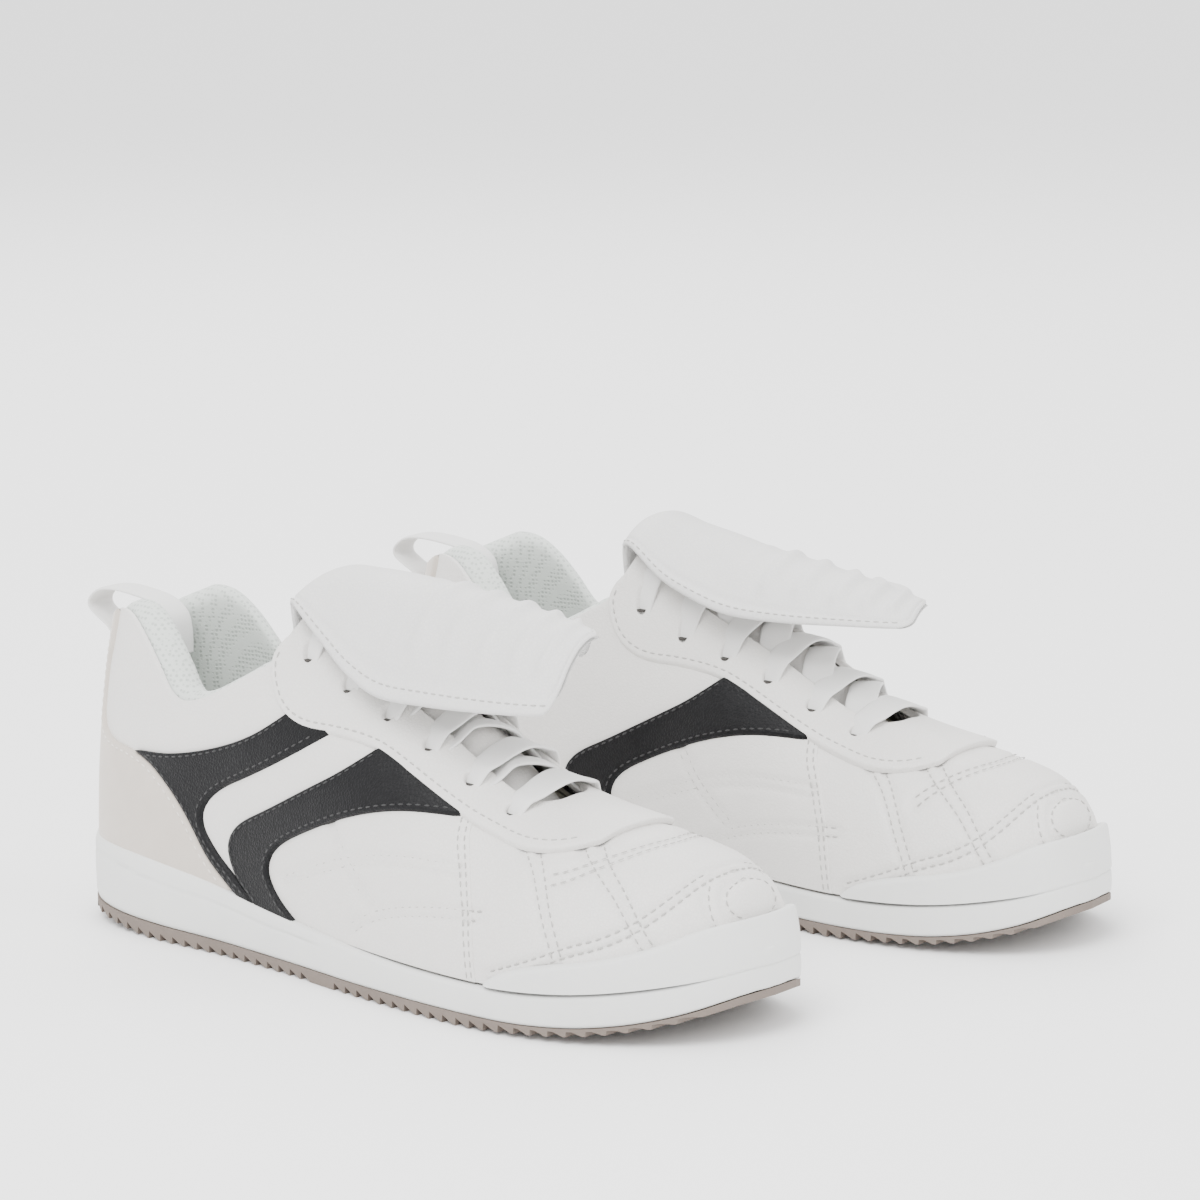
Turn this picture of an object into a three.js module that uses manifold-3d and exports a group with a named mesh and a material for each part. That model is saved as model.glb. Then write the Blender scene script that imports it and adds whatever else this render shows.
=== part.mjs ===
// A pair of leather trainers with a fold-over tongue flap: right shoe, and the left as its mirror.
// Millimetres, +X to the toes, +Y to the wearer's left, +Z up, the soles resting on z = 0.
import * as THREE from 'three';
import { mergeVertices } from 'three/addons/utils/BufferGeometryUtils.js';
import Module from 'manifold-3d';

const wasm = await Module();
wasm.setup();

// ---------------------------------------------------------------- driving dimensions
const shoeLength = 275;          // outsole, heel to toe
const ballWidth = 92;            // outsole, at the ball of the foot
const collarHeight = 105.5;      // top of the collar's hump above the ground
const pairSpread = 131.5;        // between the two shoes' heels
const pairStagger = 17.7;        // how far the left shoe stands forward
const toeOut = 2.13;             // degrees that each toe turns outward

const fitGap = 0.3;              // between pieces that lie against each other
const layerGap = 0.6;            // between the layers of the upper
const seamGap = 0.5;             // between the edges of neighbouring panels
const soleLedge = 2.5;           // width of the midsole left showing around the upper
const leather = 1.6;             // quarters and vamp
const padding = 1.1;             // foam behind the quilted vamp
const lining = 1.0;
const overlay = 1.3;             // stripes, eyestay and heel counter cover
const randThickness = 2.3;
const stiffener = 1.2;
const collarFoam = 4.2;
const insoleBoard = 1.6;
const sockliner = 4;
const treadDepth = 2.4;
const treadPitch = 5.7;
const treadWeb = 0.9;            // least rubber left above a groove

const eyeletRows = 6;
const eyeletPitch = 16.8;
const firstEyelet = 109;         // top row, from the heel
const eyeletRadius = 2.6;
const eyeletMargin = 6.5;        // eyelet centre to the edge of the throat
const laceWidth = 7.6;
const laceThickness = 1.2;
const agletLength = 12;
const agletRadius = 1.1;

const tongueThickness = 5;
const tongueDepth = 7.4;         // how far the tongue's sides lie below the upper's face
const tongueCrown = 1;           // how far its middle swells above the upper's face
const flapThickness = 3.4;
const heelNotch = { half: 9, height: 98 };   // dip in the collar where the pull loop is sewn
const loopWidth = 11;
const loopThickness = 1.4;

// ---------------------------------------------------------------- grading and curves
// Curves and panel outlines are drawn on the sample size and graded to the sizes above.
const sample = { length: 275, width: 92, height: 105.5 };
const lengthGrade = shoeLength / sample.length;
const widthGrade = ballWidth / sample.width;
const heightGrade = collarHeight / sample.height;

function smoothCurve(points, grade, warp = (x) => x) {
  const xs = points.map(([x]) => warp(x));
  const ys = points.map(([, y]) => y * grade);
  const rise = (i) => (ys[i + 1] - ys[i]) / (xs[i + 1] - xs[i]);
  const last = xs.length - 1;
  const slope = xs.map((x, i) => {
    if (i === 0) return rise(0);
    if (i === last) return rise(last - 1);
    if (rise(i - 1) * rise(i) <= 0) return 0;
    return (rise(i - 1) * (xs[i + 1] - x) + rise(i) * (x - xs[i - 1])) / (xs[i + 1] - xs[i - 1]);
  });
  return (x) => {
    const q = THREE.MathUtils.clamp(warp(x / lengthGrade), xs[0], xs[last]);
    let i = 0;
    while (i < last - 1 && q > xs[i + 1]) i += 1;
    const h = xs[i + 1] - xs[i];
    const t = (q - xs[i]) / h;
    const keep = (1 + 2 * t) * (1 - t) ** 2;
    const bend = t * (1 - t) * ((1 - t) * slope[i] - t * slope[i + 1]);
    return keep * ys[i] + (1 - keep) * ys[i + 1] + h * bend;
  };
}

// Stations crowd towards the heel and toe, where the outline turns.
const roundEnds = (x) => Math.acos(THREE.MathUtils.clamp(1 - (2 * x) / sample.length, -1, 1));
const station = (t) => (shoeLength * (1 - Math.cos(Math.PI * t))) / 2;

const lateralHalf = smoothCurve([[0, 7], [5.5, 17.3], [14, 25.4], [28, 31], [50, 33.8], [82, 34.5],
  [115, 38], [151, 43.6], [206, 48], [231, 44.8], [250, 37], [263, 28], [271, 18.3], [275, 7]],
widthGrade, roundEnds);
const medialHalf = smoothCurve([[0, 7], [5.5, 16.6], [14, 24.2], [28, 29.4], [50, 31.5], [82, 30.2],
  [115, 30], [151, 35.3], [206, 43.4], [231, 41.2], [250, 35], [263, 27.2], [271, 17.8], [275, 7]],
widthGrade, roundEnds);
const centreLine = smoothCurve([[0, 0], [150, 0], [231, 1.2], [263, 3.4], [275, 5]], widthGrade);
const ridge = smoothCurve([[0, 150], [60, 149], [86, 131], [99, 116.5], [112, 106.7],
  [127, 98.9], [160, 82.9],
  [192, 65.8], [206, 61.6], [241, 55], [256, 51.8], [266, 47.1], [271, 42], [275, 25]], heightGrade);
const widest = smoothCurve([[0, 25], [30, 23], [80, 18.7], [150, 15], [200, 14.2], [240, 16], [275, 21.5]],
  heightGrade);
const feather = smoothCurve([[0, 28.5], [40, 27], [72, 23.5], [94, 20], [122, 17], [165, 14], [210, 13.5],
  [240, 15.5], [262, 19], [275, 22.5]], heightGrade);
// half width that a layer's depth is a share of
const sideRun = smoothCurve([[0, 34], [80, 34], [206, 46], [275, 46]], widthGrade);
const fullness = smoothCurve([[0, 0.62], [60, 0.62], [100, 0.7], [120, 0.8], [150, 0.95], [191, 1.1],
  [220, 0.9], [250, 0.8], [275, 0.8]], 1);
const ground = smoothCurve([[0, 4.5], [14, 3.2], [27, 1.8], [50, 0], [185, 0], [217, 1.3], [244, 3.6],
  [266, 8.8], [275, 12.5]], heightGrade);
const soleSplit = smoothCurve([[0, 8.2], [14, 7], [38, 5.6], [65, 4.9], [89, 4.4], [205, 4.2], [224, 4.4],
  [240, 5.4], [254, 7.6], [266, 11], [275, 15]], heightGrade);

const outline = (points) => points.map(([x, z]) => new THREE.Vector2(x * lengthGrade, z * heightGrade));

const collarLine = [[-8, 99], [13, 100], [20, 103.3], [26, 105.5], [33, 104], [40, 99],
  [48, 90.5], [54, 83.2],
  [60, 80.6], [68, 82], [79, 87], [90, 93], [97.5, 98]];
const eyestayEdge = [[96, 99], [99, 88], [105, 81], [114, 77.7], [126, 77.7], [140, 76.2], [150, 73.2],
  [178, 60.3], [190, 56.2], [203, 53.3], [214, 53.3], [222, 55], [231, 58]];
const heelSweep = [[35, 61.3], [46, 58.3], [57, 50.2], [65, 41.5], [72, 31.5], [80.5, 24.5], [94, 16]];
const rearStripe = [...heelSweep, [98, 16], [81, 29.5], [73.5, 36.5], [70, 42], [71, 47.6], [78, 53.9],
  [93.5, 60.8], [110.5, 69.5], [126, 79], [108, 90], [102, 78.5], [89.5, 71.4], [72.5, 65.7], [54, 61.9]];
const frontStripe = [[147, 76], [134, 68], [118, 59.7], [101, 50.8], [88.5, 45], [83, 39], [83.2, 32.6],
  [87, 26], [94.5, 20.5], [101, 13], [123, 13], [110.5, 20.5], [103.5, 27.2], [101.5, 33], [106, 40],
  [120, 47], [138, 54.4], [153.5, 58.5], [167, 59.9], [180, 59.4], [165, 75]];
const counterEdge = [[26, 112], [22, 95], [16, 84], [13.5, 72], [17, 65.5], [25, 62], [35, 61.3]];
const vampSeam = [[178, 120], [181, 60], [191, 45], [198, 31], [203, 8]];
const randEdge = [[204, 12], [208, 17], [217, 21], [230, 24], [240, 25.5], [250, 28], [260, 32], [268, 37],
  [290, 44]];
const collarFront = [[80, 190], [98, 99.5], [101, 88], [110, 50], [118, 5]];

// ---------------------------------------------------------------- solids
const stations = 13;
const around = 8;
const overrun = 30;              // how far a cutting solid passes the ends of the shoe

function toSolid(geometry) {
  const bare = geometry.index ? geometry.clone() : geometry;
  bare.deleteAttribute('normal');
  bare.deleteAttribute('uv');
  const welded = mergeVertices(bare, 1e-5);
  const build = (corners) => new wasm.Manifold(new wasm.Mesh({
    numProp: 3,
    vertProperties: new Float32Array(welded.attributes.position.array),
    triVerts: new Uint32Array(corners),
  }));
  const solid = build(welded.index.array);
  return solid.volume() < 0 ? build([...welded.index.array].reverse()) : solid;
}

// A box whose corners and grid points are each moved to where `place` says; a, b and c run 0 to 1.
function bentBox(alongSteps, acrossSteps, place, throughSteps = 1) {
  const box = new THREE.BoxGeometry(1, 1, 1, alongSteps, acrossSteps, throughSteps);
  const spots = box.attributes.position;
  for (let i = 0; i < spots.count; i += 1) {
    const [a, b, c] = [spots.getX(i) + 0.5, spots.getY(i) + 0.5, spots.getZ(i) + 0.5];
    spots.setXYZ(i, ...place(a, b, c));
  }
  return toSolid(box);
}

const heelLean = (z) => 0.0013 * (Math.max(z / heightGrade - 20, 0)) ** 2 * heightGrade;

// A point of the upper's face at station x: turn runs from -1 at the lateral ledge, over the top
// at 0, to 1 at the medial ledge; proud is the distance outside the leather's face.
function skin(x, turn, proud) {
  const side = turn < 0 ? -1 : 1;
  const grow = proud - soleLedge;
  const half = (side < 0 ? lateralHalf(x) : medialHalf(x)) * (1 + grow / sideRun(x));
  const lift = (Math.PI / 2) * (1 - Math.abs(turn));
  const y = centreLine(x) + side * half * Math.cos(lift) ** fullness(x);
  const z = widest(x) + (ridge(x) + proud - widest(x)) * Math.sin(lift);
  const lean = heelLean(z) * Math.max(1 - x / (70 * lengthGrade), 0);
  return [(x - shoeLength / 2) * (1 + (2 * grow) / shoeLength) + shoeLength / 2 + lean, y, z];
}

// The same face found from above, at station x and a place y across, on the flat facets of `filled`.
function skinAbove(x, y, proud) {
  const along = stations * THREE.MathUtils.clamp(Math.acos(1 - (2 * x) / shoeLength) / Math.PI, 0, 1);
  const rear = Math.min(Math.floor(along), stations - 1);
  const ahead = (x - station(rear / stations)) / (station((rear + 1) / stations) - station(rear / stations));
  const ring = Array.from({ length: around + 1 }, (_, i) => {
    const turn = (2 * i) / around - 1;
    const [back, front] = [rear, rear + 1].map((n) => skin(station(n / stations), turn, proud));
    return back.map((value, axis) => THREE.MathUtils.lerp(value, front[axis], ahead));
  });
  const i = THREE.MathUtils.clamp(ring.findIndex((p) => p[1] > y), 1, around) - 1;
  const share = (y - ring[i][1]) / (ring[i + 1][1] - ring[i][1]);
  return ring[i].map((value, axis) => THREE.MathUtils.lerp(value, ring[i + 1][axis], share));
}

// The upper's shape filled solid down to below the ground, grown by `proud`.
function filled(proud) {
  const floor = -5;
  return bentBox(stations, around, (a, b, c) => {
    const x = station(a);
    const turn = 2 * b - 1;
    const [px, py, pz] = skin(x, turn, proud);
    if (c === 1) return [px, py, pz];
    const edge = skin(x, turn < 0 ? -1 : 1, proud);
    const middle = centreLine(x);
    const foot = middle + (edge[1] - middle) * Math.abs(turn);
    const z = THREE.MathUtils.lerp(floor, pz, c);
    const lean = (height) => heelLean(height) * Math.max(1 - x / (70 * lengthGrade), 0);
    return [edge[0] - lean(edge[2]) + lean(z), THREE.MathUtils.lerp(foot, py, c), z];
  }, 4);
}

const between = (inner, outer) => filled(outer).subtract(filled(inner));

// Everything between two heights that follow the length of the shoe.
function slab(low, high) {
  return bentBox(stations, 1, (a, b, c) => {
    const x = station(a);
    const stretch = a < 1e-6 ? -overrun : a > 1 - 1e-6 ? overrun : 0;
    return [x + stretch, (b - 0.5) * 4 * ballWidth, c > 0.5 ? high(x) : low(x)];
  });
}

// A side-view outline cut right through the shoe, or through one side of it.
function sideCut(points, from = -2 * ballWidth, to = 2 * ballWidth, shift = [0, 0]) {
  const shape = new THREE.Shape(outline(points).map((p) => p.add(new THREE.Vector2(...shift))));
  const cut = new THREE.ExtrudeGeometry(shape, { depth: to - from, bevelEnabled: false });
  cut.rotateX(Math.PI / 2);
  cut.translate(0, to, 0);
  return toSolid(cut);
}

function planCut(points, low, high) {
  const cut = new THREE.ExtrudeGeometry(new THREE.Shape(points), { depth: high - low, bevelEnabled: false });
  cut.translate(0, 0, low);
  return toSolid(cut);
}


const sky = 200;
const aboveFeather = (rise = 0) => slab((x) => feather(x) + rise, () => sky);
const boardTop = insoleBoard + fitGap;
const lateralSide = (points, shift) => sideCut(points, -2 * ballWidth, -fitGap / 2, shift);
const medialSide = (points, shift) => sideCut(points, fitGap / 2, 2 * ballWidth, shift);
const everything = [[-40, -20], [340, -20], [340, 190], [-40, 190]];

function belowCollar(drop = 0) {
  const low = sideCut([[-40, -20], [-40, 99], ...collarLine, [104, 109], [112, 190], [340, 190], [340, -20]],
    undefined, undefined, [0, -drop]);
  const [x, y] = [45 * lengthGrade, heelNotch.half];
  const gap = [[-40, -y], [x, -y], [x, y], [-40, y]].map(([px, py]) => new THREE.Vector2(px, py));
  return low.subtract(planCut(gap, heelNotch.height * heightGrade - drop, sky));
}
const eyestayZone = (shift) => sideCut([...eyestayEdge, [231, 190], [112, 190], [104, 109]],
  undefined, undefined, shift);
const vampZone = (shift) => sideCut([...vampSeam, [340, -20], [340, 190], [178, 190]], undefined, undefined,
  shift);
const collarZone = (shift = 0) => sideCut([...collarFront, [-40, 5], [-40, 190]], undefined, undefined,
  [shift, 0]);

// ---------------------------------------------------------------- throat and eyelets
const eyeletAt = (row, side) => {
  const share = row / (eyeletRows - 1);
  const reach = side < 0 ? -20.4 + 0.8 * share : 18.2 - 1.8 * share;
  return { x: (firstEyelet + row * eyeletPitch) * lengthGrade, y: reach * widthGrade };
};
const lastRow = eyeletRows - 1;
const throatEdge = (x, side) => {
  const [top, bottom] = [eyeletAt(0, side), eyeletAt(lastRow, side)];
  const share = (x - top.x) / (bottom.x - top.x);
  return THREE.MathUtils.lerp(top.y, bottom.y, share) - side * eyeletMargin;
};
const throatMiddle = (x) => (throatEdge(x, -1) + throatEdge(x, 1)) / 2;
const throatHalf = (x) => (throatEdge(x, 1) - throatEdge(x, -1)) / 2;
const throatEnd = eyeletAt(lastRow, 1).x + 9;

function throat(grow) {
  const rear = firstEyelet * lengthGrade - 17;
  const end = throatEnd + grow;
  const corner = end - 5;
  const at = (x, side) => new THREE.Vector2(x, throatEdge(x, side) + side * grow);
  return planCut([at(rear, -1), at(corner, -1),
    new THREE.Vector2(end - 2, throatEdge(corner, -1) / 2 - grow / 2),
    new THREE.Vector2(end, throatMiddle(corner)),
    new THREE.Vector2(end - 2, throatEdge(corner, 1) / 2 + grow / 2),
    at(corner, 1), at(rear, 1)], feather(throatEnd) + 12, sky);
}
const lacingRoom = () => throat(eyeletMargin + 4.5);

function alongNormal(geometry, x, y, proud) {
  const here = new THREE.Vector3(...skinAbove(x, y, proud));
  const out = new THREE.Vector3(...skinAbove(x, y, proud + 4)).sub(here);
  const forward = new THREE.Vector3(...skinAbove(x + 3, y, proud)).sub(here);
  const across = new THREE.Vector3(...skinAbove(x, y + 3, proud)).sub(here);
  const normal = forward.cross(across).normalize();
  if (normal.dot(out) < 0) normal.negate();
  geometry.applyQuaternion(new THREE.Quaternion().setFromUnitVectors(new THREE.Vector3(0, 1, 0), normal));
  geometry.translate(here.x, here.y, here.z);
  return toSolid(geometry);
}

// ---------------------------------------------------------------- sole
function solePlan(grow = 0) {
  const half = (x, side) => centreLine(x) + side * ((side < 0 ? lateralHalf(x) : medialHalf(x)) + grow);
  const steps = Array.from({ length: stations + 1 }, (_, i) => station(i / stations));
  const rim = (side) => steps.map((x) => new THREE.Vector2(x, half(x, side)));
  return planCut([...rim(-1), ...rim(1).reverse()], -10, 60);
}

function makeOutsole() {
  const tread = [];
  const shank = [125, 138];                                       // smooth stretch under the arch
  for (let x = treadPitch; x < shoeLength - treadPitch; x += treadPitch) {
    const root = x - treadPitch + 0.6;
    if (root < shank[0] * lengthGrade || x > shank[1] * lengthGrade) {
      tread.push(new THREE.Vector2(root, Math.min(ground(root) + treadDepth, soleSplit(root) - treadWeb)));
      tread.push(new THREE.Vector2(x - 0.4, ground(x)));
    }
    tread.push(new THREE.Vector2(x + 0.4, ground(x)));
  }
  const rim = (x) => new THREE.Vector2(x, soleSplit(x));
  const top = Array.from({ length: stations + 1 }, (_, i) => rim(station(1 - i / stations)));
  top[0].x += overrun;
  top[stations].x -= overrun;
  const shape = new THREE.Shape([new THREE.Vector2(-overrun, ground(0)), ...tread,
    new THREE.Vector2(shoeLength + overrun, ground(shoeLength)), ...top]);
  const wide = new THREE.ExtrudeGeometry(shape, { depth: 3 * ballWidth, bevelEnabled: false });
  wide.rotateX(Math.PI / 2);
  wide.translate(0, 1.5 * ballWidth, 0);
  return toSolid(wide).intersect(solePlan());
}

const makeMidsole = () => solePlan()
  .intersect(slab((x) => soleSplit(x) + fitGap + 0.15, (x) => feather(x) - fitGap));

const makeRand = () => between(overlayIn, overlayIn + randThickness)
  .intersect(aboveFeather())
  .intersect(sideCut([...randEdge, [290, 5], [204, 5]]));

const makeBoard = () => filled(paddingOut)
  .intersect(slab((x) => feather(x), (x) => feather(x) + insoleBoard));

// ---------------------------------------------------------------- layers of the upper
const overlayIn = layerGap;                               // inner face of a panel laid on the leather
const overlayOut = overlayIn + overlay;
const paddingOut = -leather - layerGap;
const liningOut = paddingOut - padding - layerGap;
const liningIn = liningOut - lining;
const foamOut = paddingOut - stiffener - layerGap;
const foamIn = foamOut - collarFoam;
const collarIn = foamIn - layerGap - lining;
const rollTop = 3.2;                                      // lining folded over the collar's edge

const leatherShell = () => between(-leather, 0)
  .intersect(aboveFeather())
  .intersect(belowCollar())
  .subtract(lacingRoom());

const makeQuarter = (side) => leatherShell()
  .subtract(vampZone([-seamGap, 0]))
  .intersect(side(everything));

const makeVamp = () => leatherShell().intersect(vampZone());

const toePuffStart = 236;
const toeZone = (shift) => sideCut([[toePuffStart, -20], [340, -20], [340, 190], [toePuffStart, 190]],
  undefined, undefined, [shift, 0]);

const innerFront = (inner, outer) => between(inner, outer)
  .intersect(aboveFeather(boardTop))
  .subtract(lacingRoom())
  .subtract(collarZone(seamGap));

const makeVampPadding = () => innerFront(paddingOut - padding, paddingOut).subtract(toeZone(-seamGap));
const makeToePuff = () => innerFront(paddingOut - padding, paddingOut).intersect(toeZone(0));
const makeVampLining = () => innerFront(liningIn, liningOut);

const panel = () => between(overlayIn, overlayOut).intersect(aboveFeather());
const clearOfEyestay = () => eyestayZone([0, -seamGap]);
const makeStripe = (points, side) => panel().intersect(side(points)).subtract(clearOfEyestay());

const makeCounter = () => panel()
  .intersect(belowCollar())
  .intersect(sideCut([...counterEdge, ...heelSweep, [94, -20], [-40, -20], [-40, 112]], undefined, undefined,
    [-seamGap, 0]));

const makeStiffener = () => between(paddingOut - stiffener, paddingOut)
  .intersect(aboveFeather(boardTop))
  .intersect(sideCut([[-40, -20], [-40, 66], [20, 64], [48, 52], [70, 34], [80, -20]]));

const makeCollarFoam = () => between(foamIn, foamOut)
  .intersect(aboveFeather(boardTop))
  .intersect(belowCollar(rollTop + fitGap))
  .intersect(collarZone());

function makeCollarLining() {
  const wall = between(collarIn, foamIn - layerGap).intersect(belowCollar());
  const roll = between(collarIn, paddingOut).intersect(belowCollar()).subtract(belowCollar(rollTop));
  return wall.add(roll).intersect(aboveFeather(boardTop)).intersect(collarZone());
}

function makeSockliner() {
  const low = boardTop + fitGap;
  const bed = filled(liningIn - layerGap)
    .intersect(slab((x) => feather(x) + low, (x) => feather(x) + low + sockliner));
  const ring = between(collarIn - layerGap, 5).intersect(collarZone(seamGap));
  return bed.subtract(ring);
}

function makeEyestay() {
  let stay = panel().intersect(eyestayZone()).subtract(throat(0));
  for (let row = 0; row < eyeletRows; row += 1) {
    for (const side of [-1, 1]) {
      const { x, y } = eyeletAt(row, side);
      const hole = new THREE.CylinderGeometry(eyeletRadius, eyeletRadius, 8, 6);
      stay = stay.subtract(alongNormal(hole, x, y, 1));
    }
  }
  return stay;
}

// ---------------------------------------------------------------- tongue, flap, laces, pull loop
const tongueTop = 99.5 * lengthGrade;
const tongueToe = throatEnd + 4;
const tongueWrap = [0.44, 0.38];  // how far round the foot it reaches at its top and at its toe end

function makeTongue(seat = 0) {
  const raw = bentBox(10, 10, (a, b, c) => {
    const x = THREE.MathUtils.lerp(tongueTop - seat, tongueToe, a);
    const turn = (2 * b - 1) * THREE.MathUtils.lerp(...tongueWrap, a);
    const side = skin(x, turn, -tongueDepth);
    const rise = Math.max(1 - ((side[1] - throatMiddle(x)) / throatHalf(x)) ** 2, 0);
    // the crown dies out at the ends
    const tuck = Math.min((tongueToe - x) / 30, 0.2 + (x - tongueTop) / 32, 1);
    const proud = seat - tongueDepth + (tongueDepth + tongueCrown) * rise * Math.max(tuck, 0);
    if (c > 0.5) return skin(x, turn, proud);
    return skin(x, turn, -tongueDepth - tongueThickness);
  });
  return raw.subtract(collarZone(seamGap));
}

// Stations of the flap, from the fold at the tongue's top to its free edge: place of the crest,
// half width, and height of the side edge. Its free edge runs askew: `short` cuts one side back.
const flapShapes = {
  right: { lean: 0, short: 24, rows: [[98, 110, 15, 100], [98, 118, 17, 112.5], [105, 123.3, 22, 114.5],
    [118, 124.5, 25, 106], [132, 124.8, 27.5, 97], [146, 124, 28, 91.5], [165, 122, 27.5, 91],
    [185, 119, 26, 91.5], [202, 116.5, 24, 92.5], [212, 115, 21.5, 93.5]] },
  left: { lean: 7, short: -24, rows: [[98, 110, 15, 100], [98, 118.5, 17, 112.5], [105, 123, 22, 114.5],
    [118, 120.3, 25, 106], [132, 117.5, 27.5, 101], [146, 114.5, 28, 97.5], [165, 111.5, 27.5, 97],
    [185, 108, 26, 98], [200, 105.5, 24, 99], [209, 103.5, 20, 99.5]] },
};

function makeFlap({ lean, short, rows }) {
  const pick = (i) => new THREE.CatmullRomCurve3(rows.map((row, n) => new THREE.Vector3(n, row[i], 0)));
  const [crestX, crestZ, half, edgeZ] = [0, 1, 2, 3].map(pick);
  const value = (curve, a) => curve.getPoint(a).y;
  const top = (a, across) => {
    const z = value(crestZ, a);
    const cutBack = Math.abs(short) * a * a * Math.max(across * Math.sign(short), 0);
    return new THREE.Vector3(
      value(crestX, a) * lengthGrade + lean * a * across - cutBack,
      throatMiddle(tongueTop) + across * value(half, a) * widthGrade,
      (z - (z - value(edgeZ, a)) * Math.abs(across) ** 2.2) * heightGrade);
  };
  const sheet = bentBox(12, 6, (a, b, c) => {
    const across = 2 * b - 1;
    const here = top(a, across);
    const ahead = top(Math.min(a + 0.02, 1), across).sub(top(Math.max(a - 0.02, 0), across));
    const aside = top(a, Math.min(across + 0.05, 1)).sub(top(a, Math.max(across - 0.05, -1)));
    const under = ahead.cross(aside).normalize().multiplyScalar(-flapThickness * (1 - c));
    return here.add(under).toArray();
  });
  return sheet.subtract(makeTongue(layerGap));
}

// One stretch of the lace from eyelet to eyelet, at the given heights over the upper's face.
const overEyestay = overlayOut + 2.3 / widthGrade + laceThickness / 2;
const underEyestay = -laceThickness / 2 - 1.4;
const overTongue = tongueCrown + 1.7 + laceThickness / 2;
const overStrands = overTongue + 3.2;

function strand(from, to, heights) {
  const knots = heights.map((k, i) => new THREE.Vector3(i, k, 0));
  const rise = new THREE.CatmullRomCurve3(knots, false, 'catmullrom', 0.3);
  return bentBox(6, 1, (a, b, c) => {
    const reach = THREE.MathUtils.lerp(-0.06, 1.06, a);
    const x = THREE.MathUtils.lerp(from.x, to.x, reach) + (b - 0.5) * laceWidth;
    const y = THREE.MathUtils.lerp(from.y, to.y, reach);
    return skinAbove(x, y, rise.getPoint(a).y + (c - 0.5) * laceThickness);
  });
}

// The end of the lace, tucked under the eyestay from the top eyelet to its aglet.
function makeTail(side) {
  const { x, y } = eyeletAt(0, side);
  const near = throatEdge(x, side) + side * 1.5;
  return bentBox(1, 1, (a, b, c) => skinAbove(x - 1.5 + a * 6.7,
    THREE.MathUtils.lerp(near, y + side * 0.8, b), underEyestay - 0.4 + (c - 0.5) * laceThickness));
}

// Straight bars over the tongue, joined below them by slanting strands under the eyestay.
function makeLace() {
  const slant = [underEyestay, underEyestay, overTongue, overTongue, overTongue, underEyestay, underEyestay];
  let lace = makeTail(-1).add(makeTail(1));
  for (let row = 0; row < eyeletRows; row += 1) {
    const [lateral, medial] = [eyeletAt(row, -1), eyeletAt(row, 1)];
    const crest = row > 0 ? overStrands : overTongue - 0.5;
    const bar = [overEyestay, overEyestay, crest, crest, crest, overEyestay, overEyestay];
    lace = lace.add(strand(lateral, medial, bar));
    if (row > 0) lace = lace.add(strand(medial, eyeletAt(row - 1, -1), slant));
    for (const { x, y } of [lateral, medial]) {
      const stem = new THREE.BoxGeometry(1.9, overEyestay - underEyestay + laceThickness * 0.3, 1.9);
      lace = lace.add(alongNormal(stem, x, y, (overEyestay + underEyestay) / 2));
    }
  }
  return lace;
}

function makeAglet(side) {
  const proud = underEyestay - laceThickness / 2 - layerGap - agletRadius;
  const start = eyeletAt(0, side).x + 5.5;
  return bentBox(2, 1, (a, b, c) => {
    const x = start + a * agletLength;
    const y = throatEdge(x, side) + side * 2.6 + (b - 0.5) * 1.7 * agletRadius;
    return skinAbove(x, y, proud - 0.8 + (c - 0.5) * 1.7 * agletRadius);
  });
}

function makePullLoop() {
  const line = new THREE.SplineCurve(outline([[29.5, 88], [29.5, 95], [25, 101.5], [14, 104.2],
    [4, 105.2], [-3, 104.8], [-8.2, 101.6],
    [-8, 97.6], [-3, 95], [2.4, 92.3], [5, 87], [4.2, 80]]));
  const steps = 14;
  const spots = Array.from({ length: steps + 1 }, (_, i) => {
    const p = line.getPoint(i / steps);
    const t = line.getTangent(i / steps);
    return { p, n: new THREE.Vector2(-t.y, t.x).multiplyScalar(loopThickness / 2) };
  });
  const outer = spots.map(({ p, n }) => p.clone().add(n));
  const ring = [...outer, ...spots.reverse().map(({ p, n }) => p.clone().sub(n))];
  const band = new THREE.ExtrudeGeometry(new THREE.Shape(ring), { depth: loopWidth, bevelEnabled: false });
  band.rotateX(Math.PI / 2);
  band.translate(0, loopWidth / 2, 0);
  return toSolid(band);
}

// ---------------------------------------------------------------- assembly
const finish = (color, roughness) => new THREE.MeshStandardMaterial({ color, roughness, metalness: 0 });
const whiteLeather = finish(0xf0efec, 0.5);
const blackLeather = finish(0x17171a, 0.35);
const suede = finish(0xe3dcd3, 0.95);
const midsoleFoam = finish(0xeceeea, 0.6);
const rubber = finish(0x85776c, 0.8);
const mesh = finish(0xdfe5df, 0.9);
const board = finish(0xd8d2c4, 0.9);
const foam = finish(0xf2ecc8, 1);
const stiff = finish(0xcfc7b4, 0.8);
const webbing = finish(0xf3f2ef, 0.85);
const plastic = finish(0xf5f5f5, 0.3);

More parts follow.
